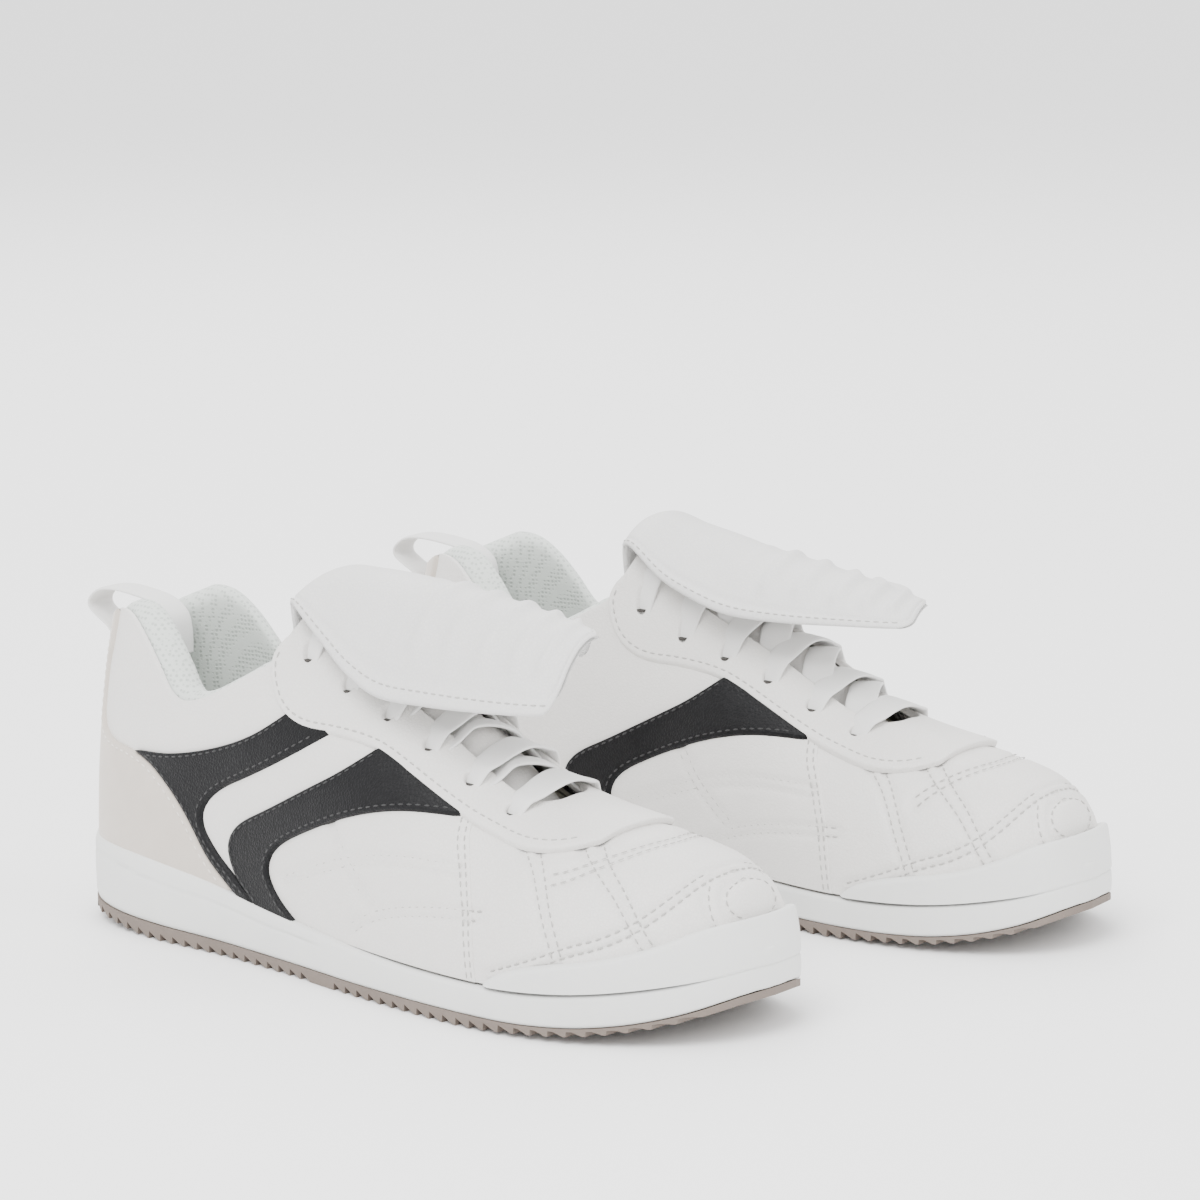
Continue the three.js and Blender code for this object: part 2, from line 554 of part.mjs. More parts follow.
function pieces() {
  return {
    outsole: [makeOutsole(), rubber],
    midsole: [makeMidsole(), midsoleFoam],
    toe_rand: [makeRand(), midsoleFoam],
    insole_board: [makeBoard(), board],
    sockliner: [makeSockliner(), mesh],
    vamp: [makeVamp(), whiteLeather],
    quarter_lateral: [makeQuarter(lateralSide), whiteLeather],
    quarter_medial: [makeQuarter(medialSide), whiteLeather],
    vamp_padding: [makeVampPadding(), foam],
    vamp_lining: [makeVampLining(), mesh],
    toe_puff: [makeToePuff(), stiff],
    heel_stiffener: [makeStiffener(), stiff],
    heel_counter_cover: [makeCounter(), suede],
    collar_foam: [makeCollarFoam(), foam],
    collar_lining: [makeCollarLining(), mesh],
    eyestay: [makeEyestay(), whiteLeather],
    stripe_rear_lateral: [makeStripe(rearStripe, lateralSide), blackLeather],
    stripe_front_lateral: [makeStripe(frontStripe, lateralSide), blackLeather],
    stripe_front_medial: [makeStripe(frontStripe, medialSide), blackLeather],
    tongue: [makeTongue(), whiteLeather],
    lace: [makeLace(), webbing],
    aglet_lateral: [makeAglet(-1), plastic],
    aglet_medial: [makeAglet(1), plastic],
    pull_loop: [makePullLoop(), webbing],
  };
}

function toGeometry(solid, mirrored) {
  const { vertProperties, triVerts } = solid.getMesh();
  const geometry = new THREE.BufferGeometry();
  geometry.setAttribute('position', new THREE.BufferAttribute(new Float32Array(vertProperties), 3));
  geometry.setIndex(new THREE.BufferAttribute(new Uint32Array(triVerts), 1));
  if (mirrored) {
    geometry.scale(1, -1, 1);
    geometry.index.array.reverse();
  }
  geometry.computeVertexNormals();
  return geometry;
}

const shared = pieces();

function makeShoe(hand) {
  const shoe = new THREE.Group();
  const all = { ...shared, tongue_flap: [makeFlap(flapShapes[hand]), whiteLeather] };
  for (const [name, [solid, material]] of Object.entries(all)) {
    const node = new THREE.Mesh(toGeometry(solid, hand === 'left'), material);
    node.name = `${hand}_${name}`;
    shoe.add(node);
  }
  return shoe;
}

const pair = new THREE.Group();
const right = makeShoe('right');
right.rotation.z = THREE.MathUtils.degToRad(-toeOut);
const left = makeShoe('left');
left.rotation.z = THREE.MathUtils.degToRad(toeOut);
left.position.set(pairStagger, pairSpread, 0);
pair.add(right, left);

// The origin is under the middle of the pair.
const room = new THREE.Box3().setFromObject(pair, true);
const middle = room.getCenter(new THREE.Vector3());
pair.position.set(-middle.x, -middle.y, -room.min.z);

export default pair;
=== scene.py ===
import math
import bmesh
import bpy
import numpy as np
from mathutils import Matrix, Vector


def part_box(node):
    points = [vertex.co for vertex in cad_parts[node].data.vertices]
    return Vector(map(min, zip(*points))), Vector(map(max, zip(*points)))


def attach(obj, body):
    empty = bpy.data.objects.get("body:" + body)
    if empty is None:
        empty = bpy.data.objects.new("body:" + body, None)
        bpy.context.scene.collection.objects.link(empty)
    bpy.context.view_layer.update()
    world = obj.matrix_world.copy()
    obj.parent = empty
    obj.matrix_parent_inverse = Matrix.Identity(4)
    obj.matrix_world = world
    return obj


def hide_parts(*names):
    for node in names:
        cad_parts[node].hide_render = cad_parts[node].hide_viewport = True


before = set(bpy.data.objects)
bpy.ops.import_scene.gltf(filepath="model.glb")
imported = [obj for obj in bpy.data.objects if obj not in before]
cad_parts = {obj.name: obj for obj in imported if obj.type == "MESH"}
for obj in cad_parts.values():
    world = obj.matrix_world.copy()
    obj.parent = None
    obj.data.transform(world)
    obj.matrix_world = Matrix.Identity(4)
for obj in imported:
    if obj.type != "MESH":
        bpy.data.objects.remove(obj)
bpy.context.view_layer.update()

# Everything below is worked out in millimetres on one right shoe: +X to the toe, lateral side at -Y.
# Each finished piece is then set down twice, as the right shoe and mirrored as the left.
shoe = dict(length=275.0, middle=137.5, toeOut=2.13, ledge=2.5, heelOver=1.08, toeOver=0.69,
            leanFrom=20, leanRate=0.0013, leanRun=70, grid=1.15)


# ---- curves of the last, the same as the frame's
def roundEnds(x):
    return np.arccos(np.clip(1 - 2 * np.asarray(x, float) / shoe["length"], -1, 1))


def smoothCurve(points, warp=None):
    warp = warp or (lambda x: np.asarray(x, float))
    xs = warp([p[0] for p in points])
    ys = np.array([p[1] for p in points], float)
    rise = np.diff(ys) / np.diff(xs)
    slope = np.zeros(len(xs))
    slope[0], slope[-1] = rise[0], rise[-1]
    for i in range(1, len(xs) - 1):
        if rise[i - 1] * rise[i] > 0:
            before, after = xs[i] - xs[i - 1], xs[i + 1] - xs[i]
            slope[i] = (rise[i - 1] * after + rise[i] * before) / (xs[i + 1] - xs[i - 1])

    def curve(x):
        q = np.clip(warp(x), xs[0], xs[-1])
        i = np.clip(np.searchsorted(xs, q, side="right") - 1, 0, len(xs) - 2)
        h = xs[i + 1] - xs[i]
        t = (q - xs[i]) / h
        keep = (1 + 2 * t) * (1 - t) ** 2
        bend = h * t * (1 - t) * ((1 - t) * slope[i] - t * slope[i + 1])
        return keep * ys[i] + (1 - keep) * ys[i + 1] + bend
    return curve


lateralHalf = smoothCurve([(0, 7), (5.5, 17.3), (14, 25.4), (28, 31), (50, 33.8), (82, 34.5),
                           (115, 38), (151, 43.6), (206, 48), (231, 44.8), (250, 37),
                           (263, 28), (271, 18.3), (275, 7)], roundEnds)
medialHalf = smoothCurve([(0, 7), (5.5, 16.6), (14, 24.2), (28, 29.4), (50, 31.5), (82, 30.2),
                          (115, 30), (151, 35.3), (206, 43.4), (231, 41.2), (250, 35),
                          (263, 27.2), (271, 17.8), (275, 7)], roundEnds)
centreLine = smoothCurve([(0, 0), (150, 0), (231, 1.2), (263, 3.4), (275, 5)])
ridge = smoothCurve([(0, 150), (60, 149), (86, 131), (99, 116.5), (112, 106.7), (127, 98.9),
                     (160, 82.9), (192, 65.8), (206, 61.6), (241, 55), (256, 51.8),
                     (266, 47.1), (271, 42), (275, 25)])
widest = smoothCurve([(0, 25), (30, 23), (80, 18.7), (150, 15), (200, 14.2), (240, 16),
                      (275, 21.5)])
feather = smoothCurve([(0, 28.5), (40, 27), (72, 23.5), (94, 20), (122, 17), (165, 14),
                       (210, 13.5), (240, 15.5), (262, 19), (275, 22.5)])
sideRun = smoothCurve([(0, 34), (80, 34), (206, 46), (275, 46)])
fullness = smoothCurve([(0, 0.62), (60, 0.62), (100, 0.7), (120, 0.8), (150, 0.95), (191, 1.1),
                        (220, 0.9), (250, 0.8), (275, 0.8)])
ground = smoothCurve([(0, 4.5), (14, 3.2), (27, 1.8), (50, 0), (185, 0), (217, 1.3),
                      (244, 3.6), (266, 8.8), (275, 12.5)])
soleSplit = smoothCurve([(0, 8.2), (14, 7), (38, 5.6), (65, 4.9), (89, 4.4), (205, 4.2),
                         (224, 4.4), (240, 5.4), (254, 7.6), (266, 11), (275, 15)])
collarTop = smoothCurve([(-8, 99), (13, 100), (20, 103.3), (26, 105.5), (33, 104), (40, 99),
                         (48, 90.5), (54, 83.2), (60, 80.6), (68, 82), (79, 87), (90, 93),
                         (97.5, 98), (104, 109), (112, 190)])


def station(a):  # stations crowd together at heel and toe
    rear, front = -shoe["heelOver"], shoe["length"] + shoe["toeOver"]
    return rear + (front - rear) * (1 - np.cos(math.pi * np.asarray(a, float))) / 2


def stationShare(x):
    rear, front = -shoe["heelOver"], shoe["length"] + shoe["toeOver"]
    return float(np.arccos(1 - 2 * (x - rear) / (front - rear)) / math.pi)


def halfWidth(x, side):  # the plan's outline, closed with a round arc at each end
    half = np.where(side < 0, lateralHalf(x), medialHalf(x))
    rearHalf = np.where(side < 0, lateralHalf(5.5), medialHalf(5.5))
    toeHalf = np.where(side < 0, lateralHalf(271.0), medialHalf(271.0))
    rearArc = rearHalf * np.sqrt(np.clip((x + shoe["heelOver"]) / (5.5 + shoe["heelOver"]), 0, None))
    toeArc = toeHalf * np.sqrt(np.clip((275 + shoe["toeOver"] - x) / (4 + shoe["toeOver"]), 0, None))
    return np.where(x < 5.5, rearArc, np.where(x > 271, toeArc, half))


def heelLean(z):
    return shoe["leanRate"] * np.maximum(z - shoe["leanFrom"], 0) ** 2


def skin(x, turn, proud):  # the upper's face: turn -1 lateral ledge, 0 ridge, 1 medial ledge
    side = np.where(turn < 0, -1.0, 1.0)
    grow = proud - shoe["ledge"]
    half = halfWidth(x, side) * (1 + grow / sideRun(x))
    lift = math.pi / 2 * (1 - np.abs(turn))
    y = centreLine(x) + side * half * np.clip(np.cos(lift), 0, 1) ** fullness(x)
    z = widest(x) + (ridge(x) + proud - widest(x)) * np.sin(lift)
    lean = heelLean(z) * np.maximum(1 - x / shoe["leanRun"], 0)
    length = shoe["length"]
    return np.stack([(x - length / 2) * (1 + 2 * grow / length) + length / 2 + lean, y, z], -1)


def wallAt(px, side, z, proud):  # the same face found from a side-view place (px, z)
    grow = proud - shoe["ledge"]
    length = shoe["length"]
    lean = heelLean(z)
    stretch = 1 + 2 * grow / length
    rear = (px - length / 2 * (1 - stretch) - lean) / np.maximum(stretch - lean / shoe["leanRun"], 0.2)
    x = np.where(rear < shoe["leanRun"], rear, (px - length / 2 * (1 - stretch)) / stretch)
    x = np.clip(x, -shoe["heelOver"], length + shoe["toeOver"])
    rise = np.clip((z - widest(x)) / (ridge(x) + proud - widest(x)), -1, 1)
    half = halfWidth(x, side) * (1 + grow / sideRun(x))
    y = centreLine(x) + side * half * np.sqrt(1 - rise ** 2) ** fullness(x)
    return np.stack([px + 0 * y, y, z + 0 * y], -1)


def roofAt(x, y, proud):  # the same face found from above
    side = np.where(y < centreLine(x), -1.0, 1.0)
    half = halfWidth(x, side) * (1 + (proud - shoe["ledge"]) / sideRun(x))
    share = np.clip(np.abs(y - centreLine(x)) / half, 0, 1) ** (1 / fullness(x))
    z = widest(x) + (ridge(x) + proud - widest(x)) * np.sqrt(np.clip(1 - share ** 2, 0, 1))
    return np.stack([x + 0 * y, y + 0 * x, z], -1)


# ---- outlines in side view
def rounded(points, closed=True, times=3):  # cuts the corners of an outline until it runs smooth
    p = np.array(points, float)
    for _ in range(times):
        q = np.roll(p, -1, axis=0) if closed else p[1:]
        r = p if closed else p[:-1]
        cut = np.stack([0.75 * r + 0.25 * q, 0.25 * r + 0.75 * q], 1).reshape(-1, 2)
        p = cut if closed else np.vstack([p[:1], cut, p[-1:]])
    return p


def lineDistance(points, u, v):
    a = points[:-1]
    b = points[1:]
    best = np.full(u.shape, 1e9)
    for (ax, ay), (bx, by) in zip(a, b):
        dx, dy = bx - ax, by - ay
        t = np.clip(((u - ax) * dx + (v - ay) * dy) / max(dx * dx + dy * dy, 1e-12), 0, 1)
        best = np.minimum(best, (u - ax - t * dx) ** 2 + (v - ay - t * dy) ** 2)
    return np.sqrt(best)


def outlineDistance(points, u, v):  # negative inside
    ring = np.vstack([points, points[:1]])
    inside = np.zeros(u.shape, bool)
    for (ax, ay), (bx, by) in zip(ring[:-1], ring[1:]):
        crosses = (ay > v) != (by > v)
        span = by - ay if by != ay else 1e-12
        inside ^= crosses & (u < ax + (v - ay) / span * (bx - ax))
    return np.where(inside, -1, 1) * lineDistance(ring, u, v)


heelSweep = [(35, 61.3), (46, 58.3), (57, 50.2), (65, 41.5), (72, 31.5), (80.5, 24.5),
             (94, 16)]
outlines = dict(
    eyestay=rounded([(104, 109), (96, 99), (99, 88), (105, 81), (114, 77.7), (126, 77.7),
                     (140, 76.2), (150, 73.2), (178, 60.3), (190, 56.2), (203, 53.3),
                     (214, 53.3), (222, 55), (231, 58), (231, 190), (112, 190)]),
    rearStripe=rounded(heelSweep + [(98, 10), (112, 10), (81, 29.5), (73.5, 36.5), (70, 42),
                                    (71, 47.6), (78, 53.9), (93.5, 60.8), (110.5, 69.5),
                                    (135, 84), (120, 92), (102, 78.5), (89.5, 71.4),
                                    (72.5, 65.7), (54, 61.9)]),
    frontStripe=rounded([(150, 80), (134, 68), (118, 59.7), (101, 50.8), (88.5, 45), (83, 39),
                         (83.2, 32.6), (87, 26), (94.5, 20.5), (104, 11), (128, 11),
                         (110.5, 20.5), (103.5, 27.2), (101.5, 33), (106, 40), (120, 47),
                         (138, 54.4), (153.5, 58.5), (167, 59.9), (186, 59.2), (175, 80)]),
    counter=rounded([(26, 125), (22, 95), (16, 84), (13.5, 72), (17, 65.5), (25, 62)] + heelSweep
                    + [(96, 5), (-40, 5), (-40, 125)]),
    vampSeam=rounded([(178, 120), (181, 60), (191, 45), (198, 31), (203, 5)], closed=False),
    rand=rounded([(201, 10), (208, 17.2), (217, 21), (230, 24), (240, 25.5), (250, 28),
                  (260, 32), (268, 37), (300, 46), (300, 0), (190, 0)]),
)

quiltLines = dict(
    low=rounded([(143.8, 20.5), (155, 27), (176, 31.6), (199.5, 33.3)], False),
    middle=rounded([(110, 29.4), (138.7, 40.7), (162.8, 44.8), (185.5, 44.4)], False),
    upright=rounded([(131.5, 49.8), (138, 40.8), (153, 29.7)], False),
    toeSweep=rounded([(206, 16.8), (221, 22.3), (232, 27.4), (241, 30.1), (250, 35.4),
                      (257, 43.3), (261, 52)], False),
    toeRear=rounded([(204.7, 53.5), (215.4, 46.3), (225.9, 30.9), (229, 24)], False),
    toeFront=rounded([(222.4, 55.1), (233.6, 49.2), (244.3, 41.8), (254.4, 28.3)], False),
    toeTip=rounded([(262.5, 46.9), (269.2, 33.4)], False),
)
# this one is seen from above
quiltCrossing = rounded([(218.8, -31.4), (225, -28.3), (233.7, -19.2), (238, -10), (240, 1.6),
                         (238, 12), (232, 22), (225, 30)], False)
quilt = dict(pair=2.7, depth=0.75, width=1.15, puff=0.35)


def quiltRelief(place):  # how far the stitched channels pull the leather in
    px, py, pz = place[..., 0], place[..., 1], place[..., 2]
    sink = np.zeros(px.shape)
    for line in quiltLines.values():
        d = lineDistance(line, px, pz)
        sink = np.maximum(sink, np.exp(-((d - quilt["pair"] / 2) / quilt["width"]) ** 2))
        sink = sink - quilt["puff"] * np.exp(-(d / 0.8) ** 2)
    over = lineDistance(quiltCrossing, px, py) + 30 * (pz < 36)
    sink = np.maximum(sink, np.exp(-((over - quilt["pair"] / 2) / quilt["width"]) ** 2))
    return -quilt["depth"] * sink


# ---- mesh work
def gridMesh(across, along):
    bm = bmesh.new()
    bmesh.ops.create_grid(bm, x_segments=across, y_segments=along, size=0.5, calc_uvs=True)
    return bm


def places(bm):
    co = np.array([v.co for v in bm.verts], float)
    return co[:, 0], co[:, 1], co[:, 2]


def setPlaces(bm, co):
    for v, p in zip(bm.verts, co):
        v.co = p


def cutAlong(bm, measure, level):  # new edges run exactly along measure == level
    a, b, _ = places(bm)
    value = measure(a, b) - level
    bm.verts.index_update()
    fresh = []
    for edge in list(bm.edges):
        first, second = edge.verts
        d0, d1 = value[first.index], value[second.index]
        if d0 * d1 < 0:
            fresh.append(bmesh.utils.edge_split(edge, first, float(d0 / (d0 - d1)))[1])
    if fresh:
        bmesh.ops.connect_verts(bm, verts=fresh)
    return fresh


def trimmed(domain, steps, measure, levels):
    bm = gridMesh(*steps)
    (a0, a1), (b0, b1) = domain
    setPlaces(bm, np.stack([a0 + (a1 - a0) * (places(bm)[0] + 0.5), b0 + (b1 - b0) * (places(bm)[1] + 0.5),
                            places(bm)[2]], -1))
    rim = set(cutAlong(bm, measure, levels[0]))
    a, b, _ = places(bm)
    outside = [v for v, d in zip(bm.verts, measure(a, b)) if d > levels[0] and v not in rim]
    bmesh.ops.delete(bm, geom=outside, context="VERTS")
    for level in levels[1:]:
        cutAlong(bm, measure, level)
    return bm


def faceOutwards(bm, heart, inward=False):
    total = 0.0
    for face in bm.faces:
        total += face.normal.dot(face.calc_center_median() - Vector(heart)) * face.calc_area()
    if (total < 0) != inward:
        bmesh.ops.reverse_faces(bm, faces=bm.faces[:])


def panel(domain, measure, base, thick, heart, edge=0.9, sink=0.7, relief=None, levels=None):
    # A piece of the upper: its face lies `base + thick` proud and rolls down at its edges.
    levels = levels or [0, -0.3, -edge]
    (a0, a1), (b0, b1) = domain
    xs = station(np.array([a0, a1]))
    along = max(int(abs(xs[1] - xs[0]) / shoe["grid"]), 6)
    around = max(int(abs(b1 - b0) * 105 / shoe["grid"]), 6)

    def measured(a, b):
        return measure(skin(station(a), b, base + thick))
    bm = trimmed(domain, (along, around), measured, levels)
    a, b, _ = places(bm)
    depth = -measured(a, b)
    roll = np.clip(depth / edge, 0, 1)
    proud = base + thick - (thick + sink) * (1 - np.sqrt(np.clip(1 - (1 - roll) ** 2, 0, 1)))
    co = skin(station(a), b, proud)
    if relief is not None:
        co = skin(station(a), b, proud + relief(co))
    setPlaces(bm, co)
    bmesh.ops.remove_doubles(bm, verts=bm.verts[:], dist=0.02)
    bm.normal_update()
    faceOutwards(bm, heart)
    return bm


def ribbon(points, ups, width, thick, round_=10, taper=None):  # a flat band swept along a line
    points = np.array(points, float)
    ups = np.array(ups, float)
    n = len(points)
    ahead = np.gradient(points, axis=0)
    ahead /= np.linalg.norm(ahead, axis=1)[:, None]
    aside = np.cross(ahead, ups)
    aside /= np.linalg.norm(aside, axis=1)[:, None]
    up = np.cross(aside, ahead)
    bm = gridMesh(2 * round_, n - 1)
    a, b, _ = places(bm)
    i = np.clip(np.rint((b + 0.5) * (n - 1)).astype(int), 0, n - 1)
    angle = 2 * math.pi * (a + 0.5)
    flat = np.sign(np.cos(angle)) * np.abs(np.cos(angle)) ** 0.55
    swell = np.sign(np.sin(angle)) * np.abs(np.sin(angle)) ** 0.75
    w = width / 2 if taper is None else width / 2 * taper[i]
    co = points[i] + aside[i] * (flat * w)[:, None] + up[i] * (swell * thick / 2)[:, None]
    setPlaces(bm, co)
    bmesh.ops.remove_doubles(bm, verts=bm.verts[:], dist=0.004)
    bmesh.ops.holes_fill(bm, edges=[e for e in bm.edges if e.is_boundary], sides=0)
    bmesh.ops.recalc_face_normals(bm, faces=bm.faces[:])
    return bm


def joinBm(target, source):
    mesh = bpy.data.meshes.new("part")
    source.to_mesh(mesh)
    source.free()
    target.from_mesh(mesh)
    bpy.data.meshes.remove(mesh)


# ---- setting pieces down
rightTurn = math.radians(-shoe["toeOut"])


def findOrigin(node, turn, flip):  # from the outsole's own box
    x = station(np.linspace(0, 1, 400))
    rim = np.vstack([np.stack([x, centreLine(x) + side * halfWidth(x, side)], -1) for side in (-1.0, 1.0)])
    rim[:, 0] = np.clip(rim[:, 0], 0, shoe["length"])
    rim[:, 1] *= flip
    turned = np.stack([rim[:, 0] * math.cos(turn) - rim[:, 1] * math.sin(turn),
                       rim[:, 0] * math.sin(turn) + rim[:, 1] * math.cos(turn)], -1)
    low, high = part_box(node)
    middle = (np.array(low)[:2] + np.array(high)[:2]) / 2 * 1000
    return middle - (turned.min(0) + turned.max(0)) / 2


origins = dict(right=findOrigin("right_outsole", rightTurn, 1),
               left=findOrigin("left_outsole", -rightTurn, -1))
millimetre = Matrix.Scale(0.001, 4)
places3d = dict(
    right=millimetre @ Matrix.Translation((*origins["right"], 0)) @ Matrix.Rotation(rightTurn, 4, "Z"),
    left=millimetre @ Matrix.Translation((*origins["left"], 0)) @ Matrix.Rotation(-rightTurn, 4, "Z")
    @ Matrix.Scale(-1, 4, (0, 1, 0)),
)
print("origins", origins)


def setDown(name, bm, material, nodes=(), hands=("right", "left"), body="shoe", smooth=True,
            wall=0.0):
    for hand in hands:
        mesh = bpy.data.meshes.new(f"{hand}_{name}")
        bm.to_mesh(mesh)
        mesh.transform(places3d[hand])
        if hand == "left":
            mesh.flip_normals()
        mesh.polygons.foreach_set("use_smooth", [smooth] * len(mesh.polygons))
        mesh.materials.append(material)
        mesh.update()
        piece = bpy.data.objects.new(f"{hand}_{name}_look", mesh)
        bpy.context.scene.collection.objects.link(piece)
        if wall:
            shell = piece.modifiers.new("wall", "SOLIDIFY")
            shell.thickness = wall / 1000
            shell.offset = -1
        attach(piece, f"{hand}_{body}")
        if nodes:
            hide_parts(*[f"{hand}_{node}" for node in nodes])
    bm.free()


# ---- materials
class Wire:
    def __init__(self, tree, socket):
        self.tree = tree
        self.socket = socket

    def add(self, kind, settings=None, sockets=None, out=0):
        node = self.tree.nodes.new(kind)
        for key, value in (settings or {}).items():
            if key == "stops":
                ramp = node.color_ramp
                while len(ramp.elements) < len(value):
                    ramp.elements.new(0.5)
                for element, (spot, color) in zip(ramp.elements, value):
                    element.position = spot
                    element.color = color
            else:
                setattr(node, key, value)
        for key, value in (sockets or {}).items():
            if isinstance(value, Wire):
                self.tree.links.new(value.socket, node.inputs[key])
            else:
                node.inputs[key].default_value = value
        return Wire(self.tree, node.outputs[out])

    def calc(self, operation, first, second=0.0):
        return self.add("ShaderNodeMath", {"operation": operation}, {0: first, 1: second})

    def __add__(self, other): return self.calc("ADD", self, other)
    def __radd__(self, other): return self.calc("ADD", other, self)
    def __sub__(self, other): return self.calc("SUBTRACT", self, other)
    def __rsub__(self, other): return self.calc("SUBTRACT", other, self)
    def __mul__(self, other): return self.calc("MULTIPLY", self, other)
    def __rmul__(self, other): return self.calc("MULTIPLY", other, self)
    def __truediv__(self, other): return self.calc("DIVIDE", self, other)
    def __pow__(self, other): return self.calc("POWER", self, other)


def newMaterial(name, constants):
    material = bpy.data.materials.new(name)
    material.use_nodes = True
    tree = material.node_tree
    shader = next(n for n in tree.nodes if n.type == "BSDF_PRINCIPLED")
    for key, value in constants.items():
        shader.inputs[key].default_value = value
    start = Wire(tree, shader.outputs[0])
    return material, start, shader


def feed(start, shader, **sockets):
    for key, wire in sockets.items():
        start.tree.links.new(wire.socket, shader.inputs[key.replace("_", " ")])


def tone(start, low, high, mask):
    return start.add("ShaderNodeMix", {"data_type": "RGBA"}, {0: mask, 6: (*low, 1), 7: (*high, 1)}, out=2)


def noise(start, coords, scale, detail=3.0, rough=0.55):
    return start.add("ShaderNodeTexNoise", None, {"Vector": coords, "Scale": scale, "Detail": detail,
                                                  "Roughness": rough})


def objectSpace(start):
    return start.add("ShaderNodeTexCoord", None, None, out=3)


def bumped(start, height, strength, depth):
    return start.add("ShaderNodeBump", None, {"Height": height, "Strength": strength, "Distance": depth})


finishes = dict(
    white=dict(low=(0.64, 0.622, 0.60), high=(0.73, 0.715, 0.692), rough=0.47, shine=0.45, grain=820,
               strength=0.35, depth=0.00022),
    black=dict(low=(0.0035, 0.0035, 0.004), high=(0.007, 0.007, 0.008), rough=0.36, shine=0.16, grain=900,
               strength=0.5,
               depth=0.00022),
    suede=dict(low=(0.47, 0.415, 0.36), high=(0.60, 0.545, 0.485), rough=0.95, sheen=0.35),
    foamSole=dict(low=(0.64, 0.645, 0.63), high=(0.72, 0.725, 0.71), rough=0.62),
    rubber=dict(low=(0.125, 0.10, 0.085), high=(0.20, 0.165, 0.14), rough=0.8),
    mesh=dict(thread=(0.62, 0.655, 0.62), gap=(0.44, 0.475, 0.445), rough=0.9, pitch=1500),
    webbing=dict(low=(0.60, 0.595, 0.58), high=(0.78, 0.775, 0.765), rough=0.85),
)


def grainedLeather(name, look):
    material, start, shader = newMaterial(name, {"IOR": 1.48, "Specular IOR Level": look["shine"]})
    coords = objectSpace(start)
    wander = noise(start, coords, 260, 2)
    pebble = start.add("ShaderNodeTexVoronoi", {"feature": "DISTANCE_TO_EDGE"},
                       {"Vector": coords, "Scale": look["grain"], "Randomness": 1.0})
    crease = start.add("ShaderNodeValToRGB", {"stops": [(0.0, (0, 0, 0, 1)), (0.22, (1, 1, 1, 1))]},
                       {0: pebble})
    pores = noise(start, coords, 5200, 2)
    patches = noise(start, coords, 38, 3)
    height = crease * 0.7 + wander * 0.9 + pores * 0.18
    # the base colour is darker along the grain's creases (crease * 0.35): painted shade in the crevices
    feed(start, shader, Base_Color=tone(start, look["low"], look["high"], patches * 0.6 + crease * 0.35),
         Roughness=look["rough"] + 0.16 * (wander - 0.5) + 0.06 * (1 - crease),
         Normal=bumped(start, height, look["strength"], look["depth"]))
    return material


def nappedSuede(name, look):
    material, start, shader = newMaterial(name, {"Sheen Weight": look["sheen"], "Sheen Roughness": 0.5})
    coords = objectSpace(start)
    brushed = noise(start, coords, 95, 4, 0.6)
    nap = noise(start, coords, 3300, 3, 0.7)
    feed(start, shader, Base_Color=tone(start, look["low"], look["high"],
                                        brushed * 0.75 + nap * 0.3 - 0.03),
         Roughness=look["rough"] + 0.08 * (nap - 0.5),
         Normal=bumped(start, nap + brushed * 0.6, 0.4, 0.00025))
    return material


def mouldedSole(name, look, speck=1800, strength=0.2):
    material, start, shader = newMaterial(name, {"IOR": 1.45})
    coords = objectSpace(start)
    skinGrain = noise(start, coords, speck, 3, 0.6)
    soil = noise(start, coords, 45, 4, 0.6)
    feed(start, shader, Base_Color=tone(start, look["low"], look["high"], soil * 0.8 + skinGrain * 0.2),
         Roughness=look["rough"] + 0.12 * (skinGrain - 0.5),
         Normal=bumped(start, skinGrain, strength, 0.0002))
    return material


def knittedMesh(name, look):
    material, start, shader = newMaterial(name, {"Sheen Weight": 0.15})
    coords = objectSpace(start)
    cells = start.add("ShaderNodeTexVoronoi", {"feature": "F1"},
                      {"Vector": coords, "Scale": look["pitch"] * 0.45, "Randomness": 0.25})
    hole = start.add("ShaderNodeValToRGB", {"stops": [(0.25, (0, 0, 0, 1)), (0.42, (1, 1, 1, 1))]},
                     {0: cells})
    fibre = noise(start, coords, look["pitch"] * 2, 2)
    # the mesh's holes take the darker colour: painted shade in the holes
    feed(start, shader, Base_Color=tone(start, look["gap"], look["thread"], hole * 0.85 + fibre * 0.15),
         Roughness=look["rough"] + 0.05 * (fibre - 0.5),
         Normal=bumped(start, hole + fibre * 0.3, 0.5, 0.00035))
    return material


def wovenBand(name, look, across=9, along=70):  # herringbone weave on the band's own UV map
    material, start, shader = newMaterial(name, {"Sheen Weight": 0.1})
    uv = start.add("ShaderNodeTexCoord", None, None, out=2)
    u = start.add("ShaderNodeSeparateXYZ", None, {0: uv})
    v = start.add("ShaderNodeSeparateXYZ", None, {0: uv}, out=1)
    zig = start.calc("PINGPONG", u * across, 0.5)
    rib = start.calc("SINE", (v * along + zig * 1.6) * 6.2832)
    edge = start.calc("SINE", u * across * 6.2832)
    fuzz = noise(start, objectSpace(start), 2600, 3)
    height = rib * 0.5 + edge * 0.25 + fuzz * 0.5
    # the weave's ribs are lighter on their crests and darker in their troughs: painted shade
    feed(start, shader, Base_Color=tone(start, look["low"], look["high"], rib * 0.22 + fuzz * 0.5 + 0.32),
         Roughness=look["rough"] + 0.08 * (fuzz - 0.5),
         Normal=bumped(start, height, 0.45, 0.00025))
    return material


def plainStuff(name, low, high, rough, scale):
    material, start, shader = newMaterial(name, {})
    coords = objectSpace(start)
    grain = noise(start, coords, scale, 3)
    feed(start, shader, Base_Color=tone(start, low, high, grain), Roughness=rough + 0.1 * (grain - 0.5),
         Normal=bumped(start, grain, 0.25, 0.0002))
    return material


